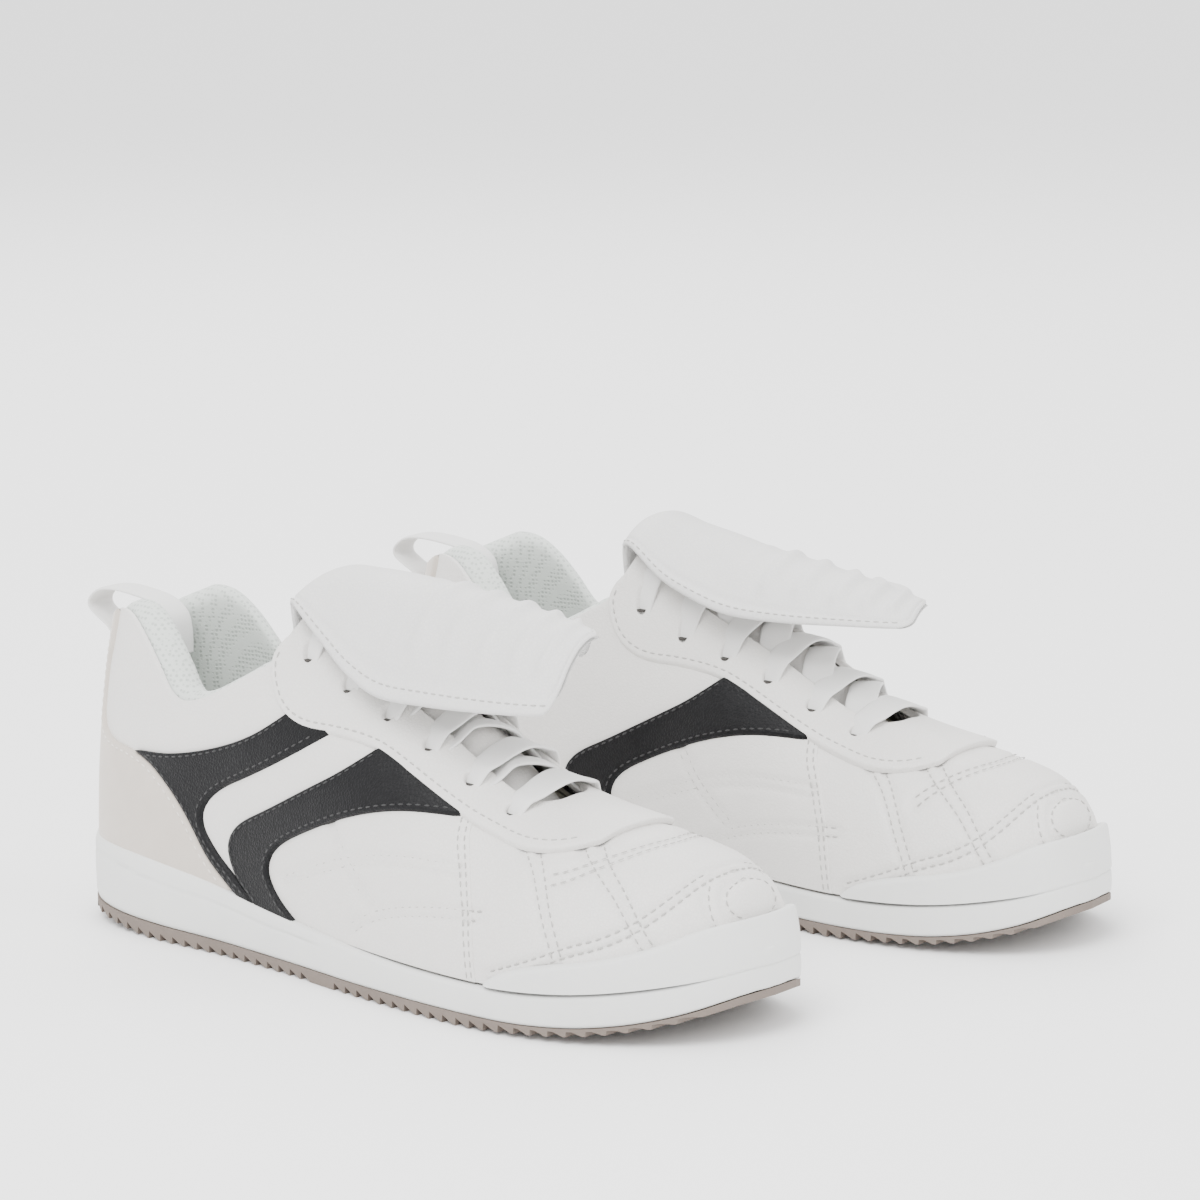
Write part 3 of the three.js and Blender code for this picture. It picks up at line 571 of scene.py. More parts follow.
whiteLeather = grainedLeather("whiteLeather", finishes["white"])
flapLeather = grainedLeather("flapLeather", dict(finishes["white"], low=(0.60, 0.595, 0.585),
                                                 high=(0.70, 0.695, 0.685),
                                                 rough=0.55))
blackLeather = grainedLeather("blackLeather", finishes["black"])
beigeSuede = nappedSuede("beigeSuede", finishes["suede"])
midsoleFoam = mouldedSole("midsoleFoam", finishes["foamSole"])
treadRubber = mouldedSole("treadRubber", finishes["rubber"], 900, 0.35)
liningMesh = knittedMesh("liningMesh", finishes["mesh"])
laceWebbing = wovenBand("laceWebbing", finishes["webbing"])
loopWebbing = wovenBand("loopWebbing", finishes["webbing"], 12, 60)
# the white thread is coloured grey: painted shade of the sunken stitch holes
shadedWhiteThread = plainStuff("shadedWhiteThread", (0.36, 0.35, 0.335), (0.47, 0.46, 0.44), 0.7, 4000)
blackThread = plainStuff("blackThread", (0.012, 0.012, 0.013), (0.03, 0.03, 0.03), 0.6, 4000)
beigeThread = plainStuff("beigeThread", (0.66, 0.62, 0.57), (0.78, 0.74, 0.69), 0.7, 4000)
# near-black: painted shade for the eyelet holes
holeShade = plainStuff("holeShade", (0.03, 0.028, 0.026), (0.06, 0.055, 0.05), 0.9, 2000)
hiddenStuff = plainStuff("innerStuff", (0.62, 0.58, 0.5), (0.72, 0.68, 0.6), 0.9, 600)
aglets = plainStuff("agletPlastic", (0.78, 0.78, 0.78), (0.86, 0.86, 0.86), 0.3, 900)
print("materials made")

# what stays of the frame is inside or under the eyestay
for nodeName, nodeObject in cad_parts.items():
    nodeObject.data.materials.clear()
    nodeObject.data.materials.append(aglets if "aglet" in nodeName else hiddenStuff)

# ---- throat and eyelets
lacing = dict(rows=6, pitch=16.8, first=109.0, margin=6.5, width=10.4, thick=1.5, hole=1.6)


def eyeletAt(row, side):
    share = row / (lacing["rows"] - 1)
    y = -20.4 + 0.8 * share if side < 0 else 18.2 - 1.8 * share
    return lacing["first"] + row * lacing["pitch"], y


def throatEdge(x, side):
    (x0, y0), (x1, y1) = eyeletAt(0, side), eyeletAt(lacing["rows"] - 1, side)
    return y0 + (x - x0) / (x1 - x0) * (y1 - y0) - side * lacing["margin"]


throatEnd = eyeletAt(5, 1)[0] + 9


def throatDistance(x, y, grow=0.0):  # negative in the opening; its front corners are round
    middle = (throatEdge(x, -1) + throatEdge(x, 1)) / 2
    half = (throatEdge(x, 1) - throatEdge(x, -1)) / 2 + grow
    corner = 9.0
    qx = x - (throatEnd + grow) + corner
    qy = np.abs(y - middle) - half + corner
    return np.hypot(np.maximum(qx, 0), np.maximum(qy, 0)) + np.minimum(np.maximum(qx, qy), 0) - corner


# ---- upper
heart = (140, 0, 30)
ledgeTurn = 1.0
overlay = dict(base=0.5, thick=1.35)


def aboveSole(p):  # bottom edges run into the sole's feather line
    return feather(np.clip(p[..., 0], 0, 275)) - 1.2 - p[..., 2]


def underCollar(p, drop=0.0):
    top = collarTop(p[..., 0]) - drop
    notch = np.clip((np.abs(p[..., 1]) - 8) / 5, 0, 1)
    notch = np.where(p[..., 0] < 30, notch ** 2 * (3 - 2 * notch), 1)
    top = top * notch + np.minimum(top, 98.4 - drop) * (1 - notch)
    return (p[..., 2] - top) * 0.8


def behindVamp(p, shift=0.0):
    line = outlines["vampSeam"]
    seamX = np.interp(p[..., 2], line[::-1, 1], line[::-1, 0])
    return (p[..., 0] - seamX - shift) * 0.92


def bySide(outline, extra=None):
    def measure(p):
        d = outlineDistance(outline, p[..., 0], p[..., 2])
        d = np.maximum(d, aboveSole(p))
        return d if extra is None else np.maximum(d, extra(p))
    return measure


def makeUpper():
    quarterFront = stationShare(206)
    for side, name in ((-1, "lateral"), (1, "medial")):
        def measure(p):
            return np.maximum.reduce([aboveSole(p), underCollar(p, 0.6), behindVamp(p),
                                      -throatDistance(p[..., 0], p[..., 1], 9.5) - 50 * (p[..., 0] < 100)])
        domain = ((0.0, quarterFront), (-ledgeTurn, -0.02) if side < 0 else (0.02, ledgeTurn))
        bm = panel(domain, measure, 0.0, 0.35, heart, edge=0.6, sink=0.9, relief=quiltRelief)
        setDown(f"quarter_{name}", bm, whiteLeather, [f"quarter_{name}"])

    def vampShape(p):
        return np.maximum.reduce([aboveSole(p), -behindVamp(p, -4),
                                  -throatDistance(p[..., 0], p[..., 1], 9.5)])
    bm = panel(((stationShare(172), 1.0), (-ledgeTurn, ledgeTurn)), vampShape, 0.0, 0.0, heart, edge=0.6,
                  relief=quiltRelief)
    setDown("vamp", bm, whiteLeather, ["vamp"])

    def stayShape(p):
        d = outlineDistance(outlines["eyestay"], p[..., 0], p[..., 2])
        d = np.maximum(d, -throatDistance(p[..., 0], p[..., 1]))
        for row in range(lacing["rows"]):
            for side in (-1, 1):
                ex, ey = eyeletAt(row, side)
                d = np.maximum(d, lacing["hole"] - np.hypot(p[..., 0] - ex, p[..., 1] - ey))
        return d
    bm = panel(((stationShare(92), stationShare(233)), (-0.62, 0.62)), stayShape, 0.6, 1.35, heart,
                  edge=0.8)
    setDown("eyestay", bm, whiteLeather, ["eyestay"])

    def belowStay(p):                                             # a stripe ends just under the eyestay
        return -3 - outlineDistance(outlines["eyestay"], p[..., 0], p[..., 2])
    for name, side, outline, reach in (("rear_lateral", -1, outlines["rearStripe"], (30, 130)),
                                       ("front_lateral", -1, outlines["frontStripe"], (78, 182)),
                                       ("front_medial", 1, outlines["frontStripe"], (78, 182))):
        domain = ((stationShare(reach[0]), stationShare(reach[1])),
                  (-ledgeTurn, -0.1) if side < 0 else (0.1, ledgeTurn))
        bm = panel(domain, bySide(outline, belowStay), overlay["base"], overlay["thick"] - 0.15, heart,
                      edge=0.7)
        setDown(f"stripe_{name}", bm, blackLeather, [f"stripe_{name}"])

    bm = panel(((0.0, stationShare(98)), (-ledgeTurn, ledgeTurn)),
                  bySide(outlines["counter"], lambda p: underCollar(p,
                          0.2)), overlay["base"], 1.1, heart, edge=0.9)
    setDown("heel_counter_cover", bm, beigeSuede, ["heel_counter_cover"])

    bm = panel(((stationShare(196), 1.0), (-ledgeTurn, ledgeTurn)),
                  bySide(outlines["rand"]), 0.4, 2.3, heart, edge=1.7, levels=[0, -0.3, -0.9, -1.7])
    setDown("toe_rand", bm, midsoleFoam, ["toe_rand"])
    print("upper made")


makeUpper()

# ---- collar: the lining's padded roll, its inner wall and the insole
collar = dict(roll=4.9, outer=-0.9, wall=-9.6)


def collarPath(count, reach=101.0):  # from the lateral throat corner round the heel to the medial one
    t = np.linspace(-1, 1, count)
    share = np.abs(t) * stationShare(reach)
    return np.where(t < 0, -1.0, 1.0), station(share)


def collarCrest(px, py):
    p = np.stack([px, py, 0 * px], -1)
    return -underCollar(p) / 0.8


def makeCollar():
    count = 260
    side, x = collarPath(count)
    profile = []
    for k in range(15):                                           # over the roll
        turn = math.pi * (k / 14)
        profile.append((collar["outer"] - collar["roll"] * (1 - math.cos(turn)),
                        -collar["roll"] * 0.75 + collar["roll"] * 0.98 * math.sin(turn) + 0.4))
    for k in range(1, 19):                                        # down the inner wall
        profile.append((collar["wall"] - 1.1 * math.exp(-((k - 1) / 3.5)),
                        -collar["roll"] * 0.75 - 3.2 * k))
    bm = gridMesh(len(profile) - 1, count - 1)
    a, b, _ = places(bm)
    i = np.rint((a + 0.5) * (len(profile) - 1)).astype(int)
    j = np.rint((b + 0.5) * (count - 1)).astype(int)
    proud = np.array([p[0] for p in profile])[i]
    drop = np.array([p[1] for p in profile])[i]
    px = x[j]
    z = collarTop(px + 6)
    for _ in range(6):                                            # settle each station on the crest line
        lean = heelLean(z) * np.maximum(1 - px / shoe["leanRun"], 0)
        reach = px * (1 + 2 * (0 - shoe["ledge"]) / shoe["length"]) + shoe["ledge"] + lean
        y = wallAt(reach, side[j], z, 0.0)[:, 1]
        z = collarCrest(reach, y)
    low = feather(px) + 7
    height = np.maximum(z + drop, low)
    lean = heelLean(height) * np.maximum(1 - px / shoe["leanRun"], 0)
    grow = proud - shoe["ledge"]
    half = np.maximum(halfWidth(px, side[j]) * (1 + grow / sideRun(px)), 0)
    rise = np.clip((height - widest(px)) / (ridge(px) + proud - widest(px)), -1, 1)
    yy = centreLine(px) + side[j] * half * np.sqrt(1 - rise ** 2) ** fullness(px)
    xx = (px - shoe["middle"]) * (1 + 2 * grow / shoe["length"]) + shoe["middle"] + lean
    setPlaces(bm, np.stack([xx, yy, height], -1))
    bmesh.ops.remove_doubles(bm, verts=bm.verts[:], dist=0.02)
    bm.normal_update()
    faceOutwards(bm, (50, 0, 40), inward=True)
    setDown("collar_lining", bm, liningMesh, ["collar_lining"])

    bm = gridMesh(120, 40)
    a, b, _ = places(bm)
    x = station(0.0 + (a + 0.5) * stationShare(262))
    inside = -6.2 - 3.6 * np.clip((112 - x) / 10, 0, 1)
    grow = inside - shoe["ledge"]
    side = np.where(b < 0, -1.0, 1.0)
    half = halfWidth(x, side) * (1 + grow / sideRun(x))
    px = (x - shoe["middle"]) * (1 + 2 * grow / shoe["length"]) + shoe["middle"]
    y = centreLine(x) + 2 * b * half
    cup = 2.2 * np.abs(2 * b) ** 4 * np.clip((110 - x) / 60, 0, 1)
    setPlaces(bm, np.stack([px, y, feather(x) + 6.3 + cup], -1))
    bmesh.ops.remove_doubles(bm, verts=bm.verts[:], dist=0.02)
    bm.normal_update()
    faceOutwards(bm, (140, 0, -400))
    setDown("sockliner", bm, liningMesh, ["sockliner"])
    print("collar made")


makeCollar()


# ---- sole
def makeMidsole():
    groove = smoothCurve([(-2, 22.6), (25.5, 22.4), (50, 19.4), (75, 17.1), (101, 14.2),
                          (129, 12.7)])
    count = 420
    profile = [(-60, 0.0), (-9, 0.0), (-1.6, 0.0), (-0.5, 0.02), (-0.1, 0.08)]
    profile += [(0.25 * math.sin(math.pi * t), t) for t in np.linspace(0.12, 0.88, 22)]
    profile += [(-0.15, 0.93), (-0.5, 0.98), (-1.2, 1.0), (-9, 1.0), (-60, 1.0)]
    bm = gridMesh(len(profile) - 1, count)
    a, b, _ = places(bm)
    i = np.rint((a + 0.5) * (len(profile) - 1)).astype(int)
    t = 2 * (b + 0.5)
    share = np.where(t <= 1, t, 2 - t)
    side = np.where(t <= 1, -1.0, 1.0)
    x = station(share)
    out = np.array([p[0] for p in profile])[i]
    rise = np.array([p[1] for p in profile])[i]
    low, high = soleSplit(x) - 0.05, feather(x) - 0.1
    z = low + (high - low) * rise
    cut = np.exp(-((z - groove(x)) / 0.42) ** 2) * np.clip((132 - x) / 8, 0, 1) * (out > -0.4)
    grow = np.where(out < -8, out, out - 0.75 * cut)
    half = halfWidth(x, side) * np.maximum(1 + grow / 44, 0)
    px = (x - shoe["middle"]) * (1 + np.maximum(grow, -9) / shoe["middle"]) + shoe["middle"]
    setPlaces(bm, np.stack([px, centreLine(x) + side * half, z], -1))
    bmesh.ops.remove_doubles(bm, verts=bm.verts[:], dist=0.02)
    bmesh.ops.recalc_face_normals(bm, faces=bm.faces[:])
    setDown("midsole", bm, midsoleFoam, ["midsole"])


def makeOutsole():
    tread = dict(depth=2.4, pitch=5.7, web=0.9, shank=(125, 138))
    spots = []
    x = tread["pitch"]
    while x < shoe["length"] - tread["pitch"]:
        root = x - tread["pitch"] + 0.6
        if root < tread["shank"][0] or x > tread["shank"][1]:
            spots.append((root, 1.0))
            spots.append((x - 0.4, 0.0))
        spots.append((x + 0.4, 0.0))
        x += tread["pitch"]
    fine = [(-1.08, 0.0), (0.2, 0.0)]
    for (x0, d0), (x1, d1) in zip([(0.2, 0.0)] + spots, spots + [(275.69, 0.0)]):
        steps = 3 if x1 - x0 > 1 else 1
        fine += [(x0 + (x1 - x0) * k / steps, d0 + (d1 - d0) * k / steps) for k in range(1, steps + 1)]
    xs = np.array([p[0] for p in fine])
    depth = np.array([p[1] for p in fine])
    section = [(-1, 1, 0), (-1, 0.5, 0), (-1, 0.04, 0.0), (-1, 0, 0.35), (-0.5, 0, 0),
               (0, 0, 0), (0.5, 0, 0), (1, 0, 0.35), (1, 0.04, 0.0), (1, 0.5, 0), (1, 1, 0),
               (0.5, 1, 0), (-0.5, 1, 0), (-1, 1, 0)]
    bm = gridMesh(len(section) - 1, len(xs) - 1)
    a, b, _ = places(bm)
    i = np.rint((a + 0.5) * (len(section) - 1)).astype(int)
    j = np.rint((b + 0.5) * (len(xs) - 1)).astype(int)
    wide = np.array([s[0] for s in section], float)[i]
    up = np.array([s[1] for s in section], float)[i]
    tuck = np.array([s[2] for s in section], float)[i]
    x = xs[j]
    bottom = ground(x) + np.minimum(depth[j] * tread["depth"],
                                    np.maximum(soleSplit(x) - tread["web"] - ground(x), 0))
    z = bottom + (soleSplit(x) - bottom) * up
    half = np.maximum(halfWidth(x, np.sign(wide) + (wide == 0)) - tuck, 0)
    setPlaces(bm, np.stack([x, centreLine(x) + wide * half, z], -1))
    bmesh.ops.remove_doubles(bm, verts=bm.verts[:], dist=0.01)
    bmesh.ops.recalc_face_normals(bm, faces=bm.faces[:])
    setDown("outsole", bm, treadRubber, ["outsole"], smooth=False)
    print("sole made")


makeMidsole()
makeOutsole()

# ---- tongue and flap
tongueLook = dict(top=99.5, depth=7.4, crown=1.0, wrap=(0.44, 0.38))


def makeTongue():
    bm = gridMesh(70, 90)
    a, b, _ = places(bm)
    a, b = a + 0.5, b + 0.5
    toe = throatEnd + 4
    x = tongueLook["top"] + (toe - tongueLook["top"]) * b
    turn = (2 * a - 1) * (tongueLook["wrap"][0] + (tongueLook["wrap"][1] - tongueLook["wrap"][0]) * b)
    edge = skin(x, turn, -tongueLook["depth"] + 0 * x)
    middle = (throatEdge(x, -1) + throatEdge(x, 1)) / 2
    half = (throatEdge(x, 1) - throatEdge(x, -1)) / 2
    rise = np.maximum(1 - ((edge[:, 1] - middle) / half) ** 2, 0) ** 0.8
    tuck = np.clip(np.minimum((toe - x) / 30, 0.2 + (x - tongueLook["top"]) / 32), 0, 1)
    dents = 0.5 * np.cos((x - lacing["first"] + 8) / lacing["pitch"] * 2 * math.pi)
    proud = -tongueLook["depth"] + (tongueLook["depth"] + tongueLook["crown"] + dents) * rise * tuck
    setPlaces(bm, skin(x, turn, proud))
    bm.normal_update()
    faceOutwards(bm, heart)
    setDown("tongue", bm, whiteLeather, ["tongue"], wall=3.0)


flaps = dict(
    right=dict(lean=0, short=24, rows=[(98, 110, 15, 100), (98, 118, 17, 112.5),
                                       (105, 123.3, 22, 114.5), (118, 124.5, 25, 106),
                                       (132, 124.8, 27.5, 97), (146, 124, 28, 91.5),
                                       (165, 122, 27.5, 91), (185, 119, 26, 91.5),
                                       (202, 116.5, 24, 92.5), (212, 115, 21.5, 93.5)]),
    left=dict(lean=7, short=-24, rows=[(98, 110, 15, 100), (98, 118.5, 17, 112.5),
                                       (105, 123, 22, 114.5), (118, 120.3, 25, 106),
                                       (132, 117.5, 27.5, 101), (146, 114.5, 28, 97.5),
                                       (165, 111.5, 27.5, 97), (185, 108, 26, 98),
                                       (200, 105.5, 24, 99), (209, 103.5, 20, 99.5)]),
    length=118, half=27, corner=7.0, rim=3.0, rib=1.5, ribPitch=8.5)


def catmull(values, t):
    p = np.array(values, float)
    n = len(p) - 1
    s = np.clip(t, 0, 1) * n
    i = np.clip(s.astype(int), 0, n - 1)
    f = s - i
    before, here, there, after = p[np.maximum(i - 1, 0)], p[i], p[i + 1], p[np.minimum(i + 2, n)]
    return 0.5 * (2 * here + (there - before) * f + (2 * before - 5 * here + 4 * there - after) * f ** 2
                  + (3 * here - before - 3 * there + after) * f ** 3)


def flapTop(shape, a, across):
    crestX, crestZ, half, edgeZ = [catmull([row[k] for row in shape["rows"]], a) for k in range(4)]
    middle = (throatEdge(99.5, -1) + throatEdge(99.5, 1)) / 2
    cutBack = abs(shape["short"]) * a * a * np.maximum(across * np.sign(shape["short"]), 0)
    droop = (crestZ - edgeZ) * np.abs(across) ** 2.2 * np.where(across * shape["short"] > 0, 1 - 0.4 * a, 1)
    return np.stack([crestX + shape["lean"] * a * across - cutBack, middle + across * half,
                     crestZ - droop], -1)


def makeFlap(hand):
    shape = flaps[hand]
    bm = gridMesh(90, 190)
    u, v, _ = places(bm)
    across, a = 2 * u, v + 0.5
    length, width = flaps["length"], flaps["half"]
    fromEnd = (1 - a) * length
    fromSide = (1 - np.abs(across)) * width
    corner = flaps["corner"]                                      # the free end's corners are round
    dx, dy = np.maximum(corner - fromEnd, 0), np.maximum(corner - fromSide, 0)
    inner = np.where((dx > 0) & (dy > 0), np.maximum(dx, dy) / np.maximum(np.hypot(dx, dy), 1e-6), 1)
    a = np.where(dx > 0, 1 - (corner - dx * inner) / length, a)
    across = np.where(dy > 0, np.sign(across) * (1 - (corner - dy * inner) / width), across)
    co = flapTop(shape, a, across)
    ahead = flapTop(shape, np.minimum(a + 0.01, 1), across) - flapTop(shape, np.maximum(a - 0.01, 0),
            across)
    aside = flapTop(shape, a, np.minimum(across + 0.02, 1)) - flapTop(shape, a,
            np.maximum(across - 0.02, -1))
    up = np.cross(ahead, aside)
    up /= np.linalg.norm(up, axis=1)[:, None]
    edge = np.minimum(fromSide, fromEnd)                          # a bound rim runs round the free edges
    rim = -0.6 * np.exp(-((edge - flaps["rim"]) / 0.6) ** 2) + 0.15 * (edge < flaps["rim"])
    ribs = flaps["rib"] * (0.5 - 0.5 * np.cos((fromEnd - 7) / flaps["ribPitch"] * 2 * math.pi)) ** 2
    ribs = ribs * np.clip((fromSide - 5) / 4, 0, 1) * (fromEnd > 7) * np.clip((55 - fromEnd) / 8, 0, 1)
    soften = 0.9 * np.clip(1 - edge / 1.6, 0, 1) ** 2
    drape = 0.5 * np.sin(a * 9 + across * 1.3) * np.sin(across * 2.2 + 0.6)
    co = co - up * (1.1 * soften)[:, None] + up * ((rim + ribs + drape) * (a > 0.12))[:, None]
    setPlaces(bm, co)
    bm.normal_update()
    faceOutwards(bm, (150, 0, 60))
    setDown("tongue_flap", bm, flapLeather, ["tongue_flap"], hands=(hand,), body="flap",
            wall=2.2)


makeTongue()
makeFlap("right")
makeFlap("left")
print("tongue and flaps made")


# ---- laces
def strand(start, target, reach, heights, bow, roll):  # one stretch of lace between two eyelets
    t = np.linspace(0, 1, 64)
    rise = np.interp(t, np.linspace(0, 1, len(heights)), heights)
    for _ in range(6):
        rise[1:-1] = (rise[:-2] + 2 * rise[1:-1] + rise[2:]) / 4
    along = reach[0] + (reach[1] - reach[0]) * t
    x = start[0] + (target[0] - start[0]) * along + bow * np.sin(math.pi * t)
    y = start[1] + (target[1] - start[1]) * along
    base = roofAt(x, y, rise)
    up = roofAt(x, y, rise + 1) - base
    up[:, 0] += roll * np.sin(math.pi * t)
    narrow = 0.5 + 0.5 * np.clip(np.minimum(t, 1 - t) / 0.16, 0, 1) ** 0.7
    return ribbon(base, up, lacing["width"], lacing["thick"], taper=narrow)


def makeLaces():
    bm = bmesh.new()
    shake = np.random.default_rng(7)
    over, under, crest = 3.1, -1.7, 4.6
    for row in range(lacing["rows"]):
        lateral, medial = eyeletAt(row, -1), eyeletAt(row, 1)
        top = crest - (1.3 if row == 0 else 0) + shake.uniform(-0.25, 0.25)
        heights = [under, over, over, top - 0.6, top, top, top - 0.6, over, over, under]
        joinBm(bm, strand(lateral, medial, (-0.035, 1.035), heights, shake.uniform(1.8, 3.2),
                          0.16 + shake.uniform(-0.1, 0.1)))
        if row:
            below = [under, under, -0.4, 3.0, 3.3, 3.3, 3.0, -0.4, under, under]
            joinBm(bm, strand(medial, eyeletAt(row - 1, -1), (-0.03, 1.03), below, 0, 0))
    setDown("lace", bm, laceWebbing, ["lace"])
    print("laces made")


makeLaces()


# ---- pull loop
def makeLoop():
    line = np.array([(29.5, 86), (29.5, 93), (27.8, 99), (22, 103), (14, 104.6), (4, 105.4),
                     (-3, 104.6), (-7.6, 101.6), (-8.2, 98.4), (-4.5, 95.6), (1.2, 92.2),
                     (3.6, 87), (3.3, 80)], float)
    t = np.linspace(0, 1, 110)
    path = np.stack([catmull(line[:, 0], t), 0 * t, catmull(line[:, 1], t)], -1)
    ahead = np.gradient(path, axis=0)
    up = np.cross(ahead, np.array([0, 1.0, 0]))
    bm = ribbon(path, up, 11, 1.4, 12)
    setDown("pull_loop", bm, loopWebbing, ["pull_loop"])


makeLoop()


# ---- stitching
def stitchRow(bm, line, normal, pitch=3.1, length=2.3, size=0.42):
    steps = np.linalg.norm(np.diff(line, axis=0), axis=1)
    run = np.concatenate([[0], np.cumsum(steps)])
    for spot in np.arange(pitch / 2, run[-1], pitch):
        p = np.array([np.interp(spot, run, line[:, k]) for k in range(3)])
        q = np.array([np.interp(min(spot + 0.5, run[-1]), run, line[:, k]) for k in range(3)])
        n = np.array([np.interp(spot, run, normal[:, k]) for k in range(3)])
        d = q - p
        if np.linalg.norm(d) < 1e-6:
            continue
        d /= np.linalg.norm(d)
        n = n - d * n.dot(d)
        n /= max(np.linalg.norm(n), 1e-6)
        s = np.cross(n, d)
        turned = Matrix((Vector(d), Vector(s), Vector(n))).transposed().to_4x4()
        shape = Matrix.Diagonal((length / 2, size, size * 0.62, 1))
        bmesh.ops.create_icosphere(bm, subdivisions=1, radius=1,
                                   matrix=Matrix.Translation(Vector(p)) @ turned @ shape)


def sideRow(bm, points, side, proud, offset=0.0, **kw):
    points = np.array(points, float)
    seg = np.linalg.norm(np.diff(points, axis=0), axis=1)
    run = np.concatenate([[0], np.cumsum(seg)])
    s = np.linspace(0, run[-1], max(int(run[-1] / 1.0), 4))
    u, v = np.interp(s, run, points[:, 0]), np.interp(s, run, points[:, 1])
    if offset:
        du, dv = np.gradient(u), np.gradient(v)
        size = np.hypot(du, dv)
        u, v = u - dv / size * offset, v + du / size * offset
    low = feather(np.clip(u, 0, 275)) + 0.8
    high = ridge(np.clip(u, 0, 275)) - 1.2
    keep = (v > low) & (v < high)
    u, v = u[keep], v[keep]
    if len(u) < 4:
        return
    line = wallAt(u, float(side), v, proud)
    normal = wallAt(u, float(side), v, proud + 1.0) - line + np.array([0, side * 0.35, 0.15])
    stitchRow(bm, line, normal, **kw)


def inset(outline, amount):  # the outline moved inwards, then only what stays that far from the edge
    ring = np.vstack([outline, outline[:1]])
    step = np.linalg.norm(np.diff(ring, axis=0), axis=1)
    run = np.concatenate([[0], np.cumsum(step)])
    s = np.linspace(0, run[-1], int(run[-1] / 0.8))
    u, v = np.interp(s, run, ring[:, 0]), np.interp(s, run, ring[:, 1])
    du, dv = np.gradient(u), np.gradient(v)
    size = np.maximum(np.hypot(du, dv), 1e-6)
    area = np.sum(ring[:-1, 0] * ring[1:, 1] - ring[1:, 0] * ring[:-1, 1])
    sign = 1 if area > 0 else -1
    p = np.stack([u - sign * dv / size * amount, v + sign * du / size * amount], -1)
    good = outlineDistance(outline, p[:, 0], p[:, 1]) < -amount * 0.93
    return p, good


def runs(points, good):  # unbroken stretches of a line
    stretch, out = [], []
    for p, ok in zip(points, good):
        if ok:
            stretch.append(p)
        elif stretch:
            out.append(np.array(stretch))
            stretch = []
    if stretch:
        out.append(np.array(stretch))
    return [r for r in out if len(r) > 5]


def makeStitching():
    white, black, beige = bmesh.new(), bmesh.new(), bmesh.new()
    for side in (-1, 1):
        for line in quiltLines.values():
            for shift in (-quilt["pair"] / 2, quilt["pair"] / 2):
                sideRow(white, line, side, -0.42, shift, size=0.3)
        for shift in (-1.6, -3.6):
            line = outlines["vampSeam"][outlines["vampSeam"][:, 1] < 62]
            sideRow(white, line[::-1], side, 0.38, -shift, size=0.34)
        points, good = inset(outlines["eyestay"], 2.2)
        good &= (points[:, 1] < 100) & (points[:, 0] < 222)
        for stretch in runs(points, good):
            sideRow(white, stretch, side, 1.98, size=0.36)
        for outline in (outlines["rearStripe"], outlines["frontStripe"])[0 if side < 0 else 1:]:
            points, good = inset(outline, 1.5)
            good &= outlineDistance(outlines["eyestay"], points[:, 0], points[:, 1]) > 0.8
            for stretch in runs(points, good):
                sideRow(black, stretch, side, 1.74, size=0.34)
        points, good = inset(outlines["counter"], 2.0)
        good &= (points[:, 0] > 8) & (points[:, 1] < 97)
        for stretch in runs(points, good):
            sideRow(beige, stretch, side, 1.62, size=0.34)
    for shift in (-quilt["pair"] / 2, quilt["pair"] / 2):
        p = quiltCrossing
        d = np.gradient(p, axis=0)
        d /= np.linalg.norm(d, axis=1)[:, None]
        u, v = p[:, 0] - d[:, 1] * shift, p[:, 1] + d[:, 0] * shift
        line = roofAt(u, v, np.full(u.shape, -0.42))
        stitchRow(white, line, roofAt(u, v, np.full(u.shape, 0.6)) - line, size=0.3)
    setDown("stitching_white", white, shadedWhiteThread)
    setDown("stitching_black", black, blackThread)
    setDown("stitching_beige", beige, beigeThread)
    for hand in ("right", "left"):
        bm = bmesh.new()
        for edge in (-1, 1):
            a = np.linspace(0.14, 0.955, 120)
            across = np.full(a.shape, edge * (1 - 1.6 / flaps["half"]))
            line = flapTop(flaps[hand], a, across)
            ahead = np.gradient(line, axis=0)
            aside = flapTop(flaps[hand], a, across) - flapTop(flaps[hand], a, across - edge * 0.03)
            up = np.cross(ahead, aside) * edge
            up /= np.linalg.norm(up, axis=1)[:, None]
            drape = 0.5 * np.sin(a * 9 + across * 1.3) * np.sin(across * 2.2 + 0.6)
            stitchRow(bm, line + up * (drape + 0.2)[:, None], up, size=0.3)
        setDown("flap_stitching", bm, shadedWhiteThread, hands=(hand,), body="flap")
    print("stitching made")


makeStitching()


# ---- eyelets: a dark disc in each hole, painted shade
def makeEyelets():
    bm = bmesh.new()
    for row in range(lacing["rows"]):
        for side in (-1, 1):
            ex, ey = eyeletAt(row, side)
            x, y = np.array([ex]), np.array([ey])
            here = roofAt(x, y, np.array([0.2]))[0]
            up = Vector(roofAt(x, y, np.array([1.2]))[0] - here)
            turn = Vector((0, 0, 1)).rotation_difference(up.normalized()).to_matrix().to_4x4()
            bmesh.ops.create_cone(bm, cap_ends=True, segments=24, radius1=2.0, radius2=2.0, depth=0.8,
                                  matrix=Matrix.Translation(Vector(here)) @ turn)
    setDown("eyelet_hole_shade", bm, holeShade)


makeEyelets()

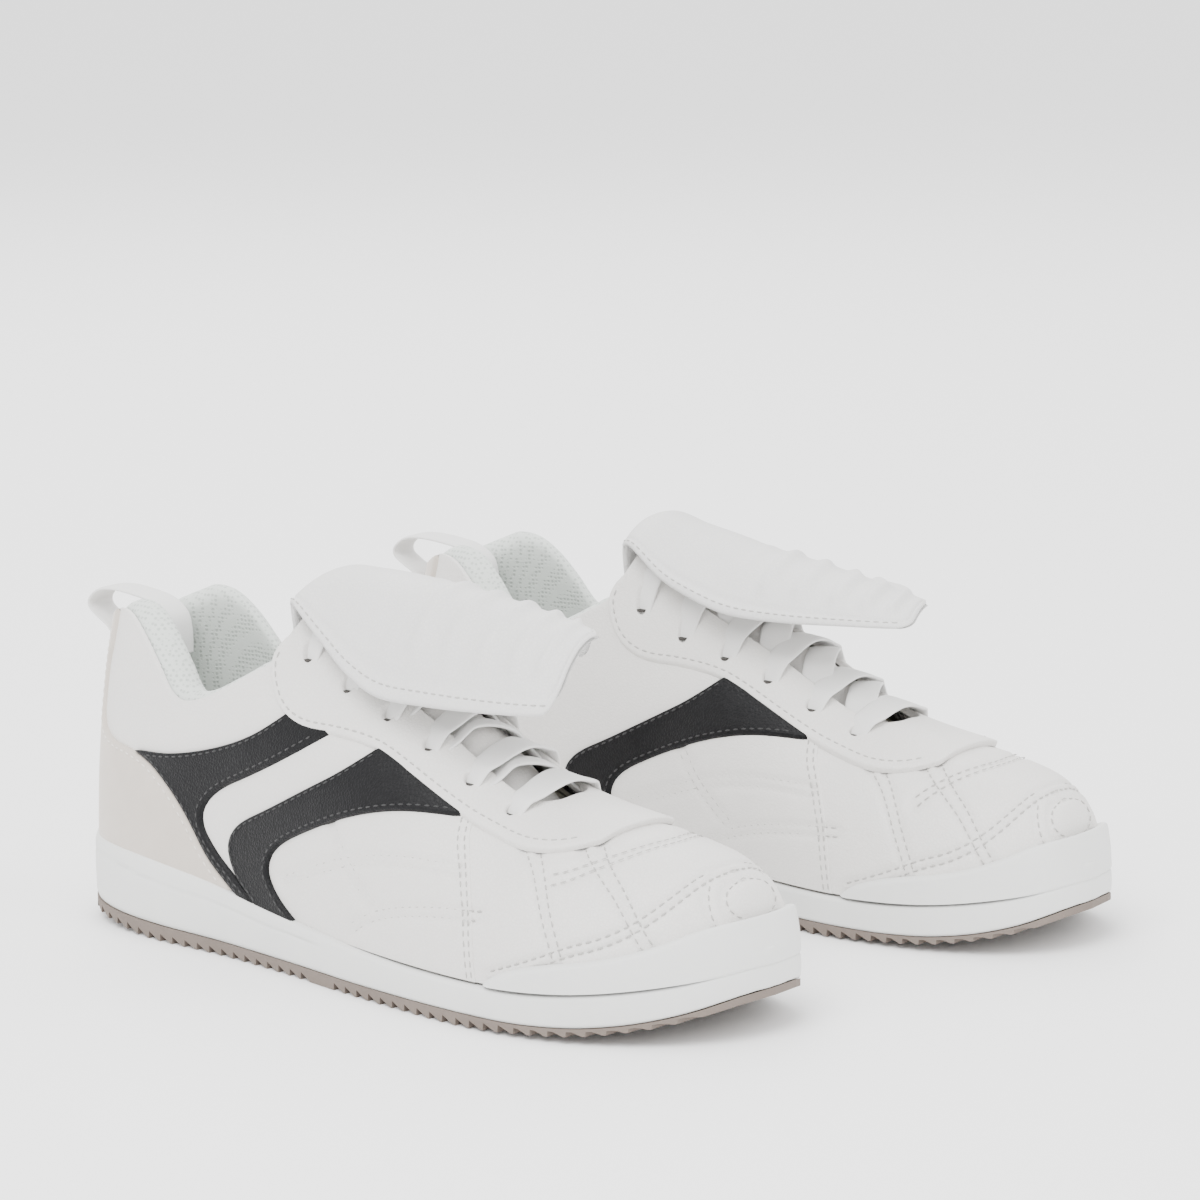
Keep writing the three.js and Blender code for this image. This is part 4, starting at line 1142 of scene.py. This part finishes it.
# ---- studio
studio = dict(floor=(0.94, 0.94, 0.94), lens=147.4, sensor=36.0, position=(1174.2, -1084.3, 398.5))


def makeStudio():
    bm = bmesh.new()
    bmesh.ops.create_grid(bm, x_segments=2, y_segments=2, size=40)
    mesh = bpy.data.meshes.new("floor")
    bm.to_mesh(mesh)
    bm.free()
    material, start, shader = newMaterial("paleFloor", {"Roughness": 0.9,
                                                        "Base Color": (*studio["floor"], 1),
                                                        "Specular IOR Level": 0.1})
    mesh.materials.append(material)
    floor = bpy.data.objects.new("floor", mesh)
    bpy.context.scene.collection.objects.link(floor)
    world = bpy.data.worlds.new("studio")
    world.use_nodes = True
    world.node_tree.nodes["Background"].inputs[0].default_value = (1, 1, 1, 1)
    world.node_tree.nodes["Background"].inputs[1].default_value = 2.1
    bpy.context.scene.world = world
    for name, place, aim, size, power in (
            ("keyLight", (0.2, -1.2, 1.7), (0, 0, 0.03), 1.4, 46),
            ("fillLight", (1.6, 0.3, 1.2), (0, 0, 0.05), 1.6, 15),
            ("backLight", (-1.2, 1.0, 1.5), (0, 0, 0.05), 1.4, 24)):
        data = bpy.data.lights.new(name, "AREA")
        data.shape = "DISK"
        data.size = size
        data.energy = power
        lamp = bpy.data.objects.new(name, data)
        lamp.location = place
        lamp.rotation_euler = (Vector(aim) - Vector(place)).to_track_quat("-Z", "Y").to_euler()
        bpy.context.scene.collection.objects.link(lamp)
    data = bpy.data.cameras.new("camera")
    data.lens = studio["lens"]
    data.sensor_width = studio["sensor"]
    data.clip_end = 50
    camera = bpy.data.objects.new("camera", data)
    rightward = Vector((0.7496, 0.6618, -0.0124))
    upward = Vector((-0.1136, 0.1470, 0.9827))
    axes = Matrix((rightward, upward, rightward.cross(upward))).transposed().to_4x4()
    place = places3d["right"] @ Vector(studio["position"])
    turn = Matrix.Rotation(rightTurn, 4, "Z")
    camera.matrix_world = Matrix.Translation(place) @ turn @ axes
    bpy.context.scene.collection.objects.link(camera)
    bpy.context.scene.camera = camera
    print("studio made")


makeStudio()
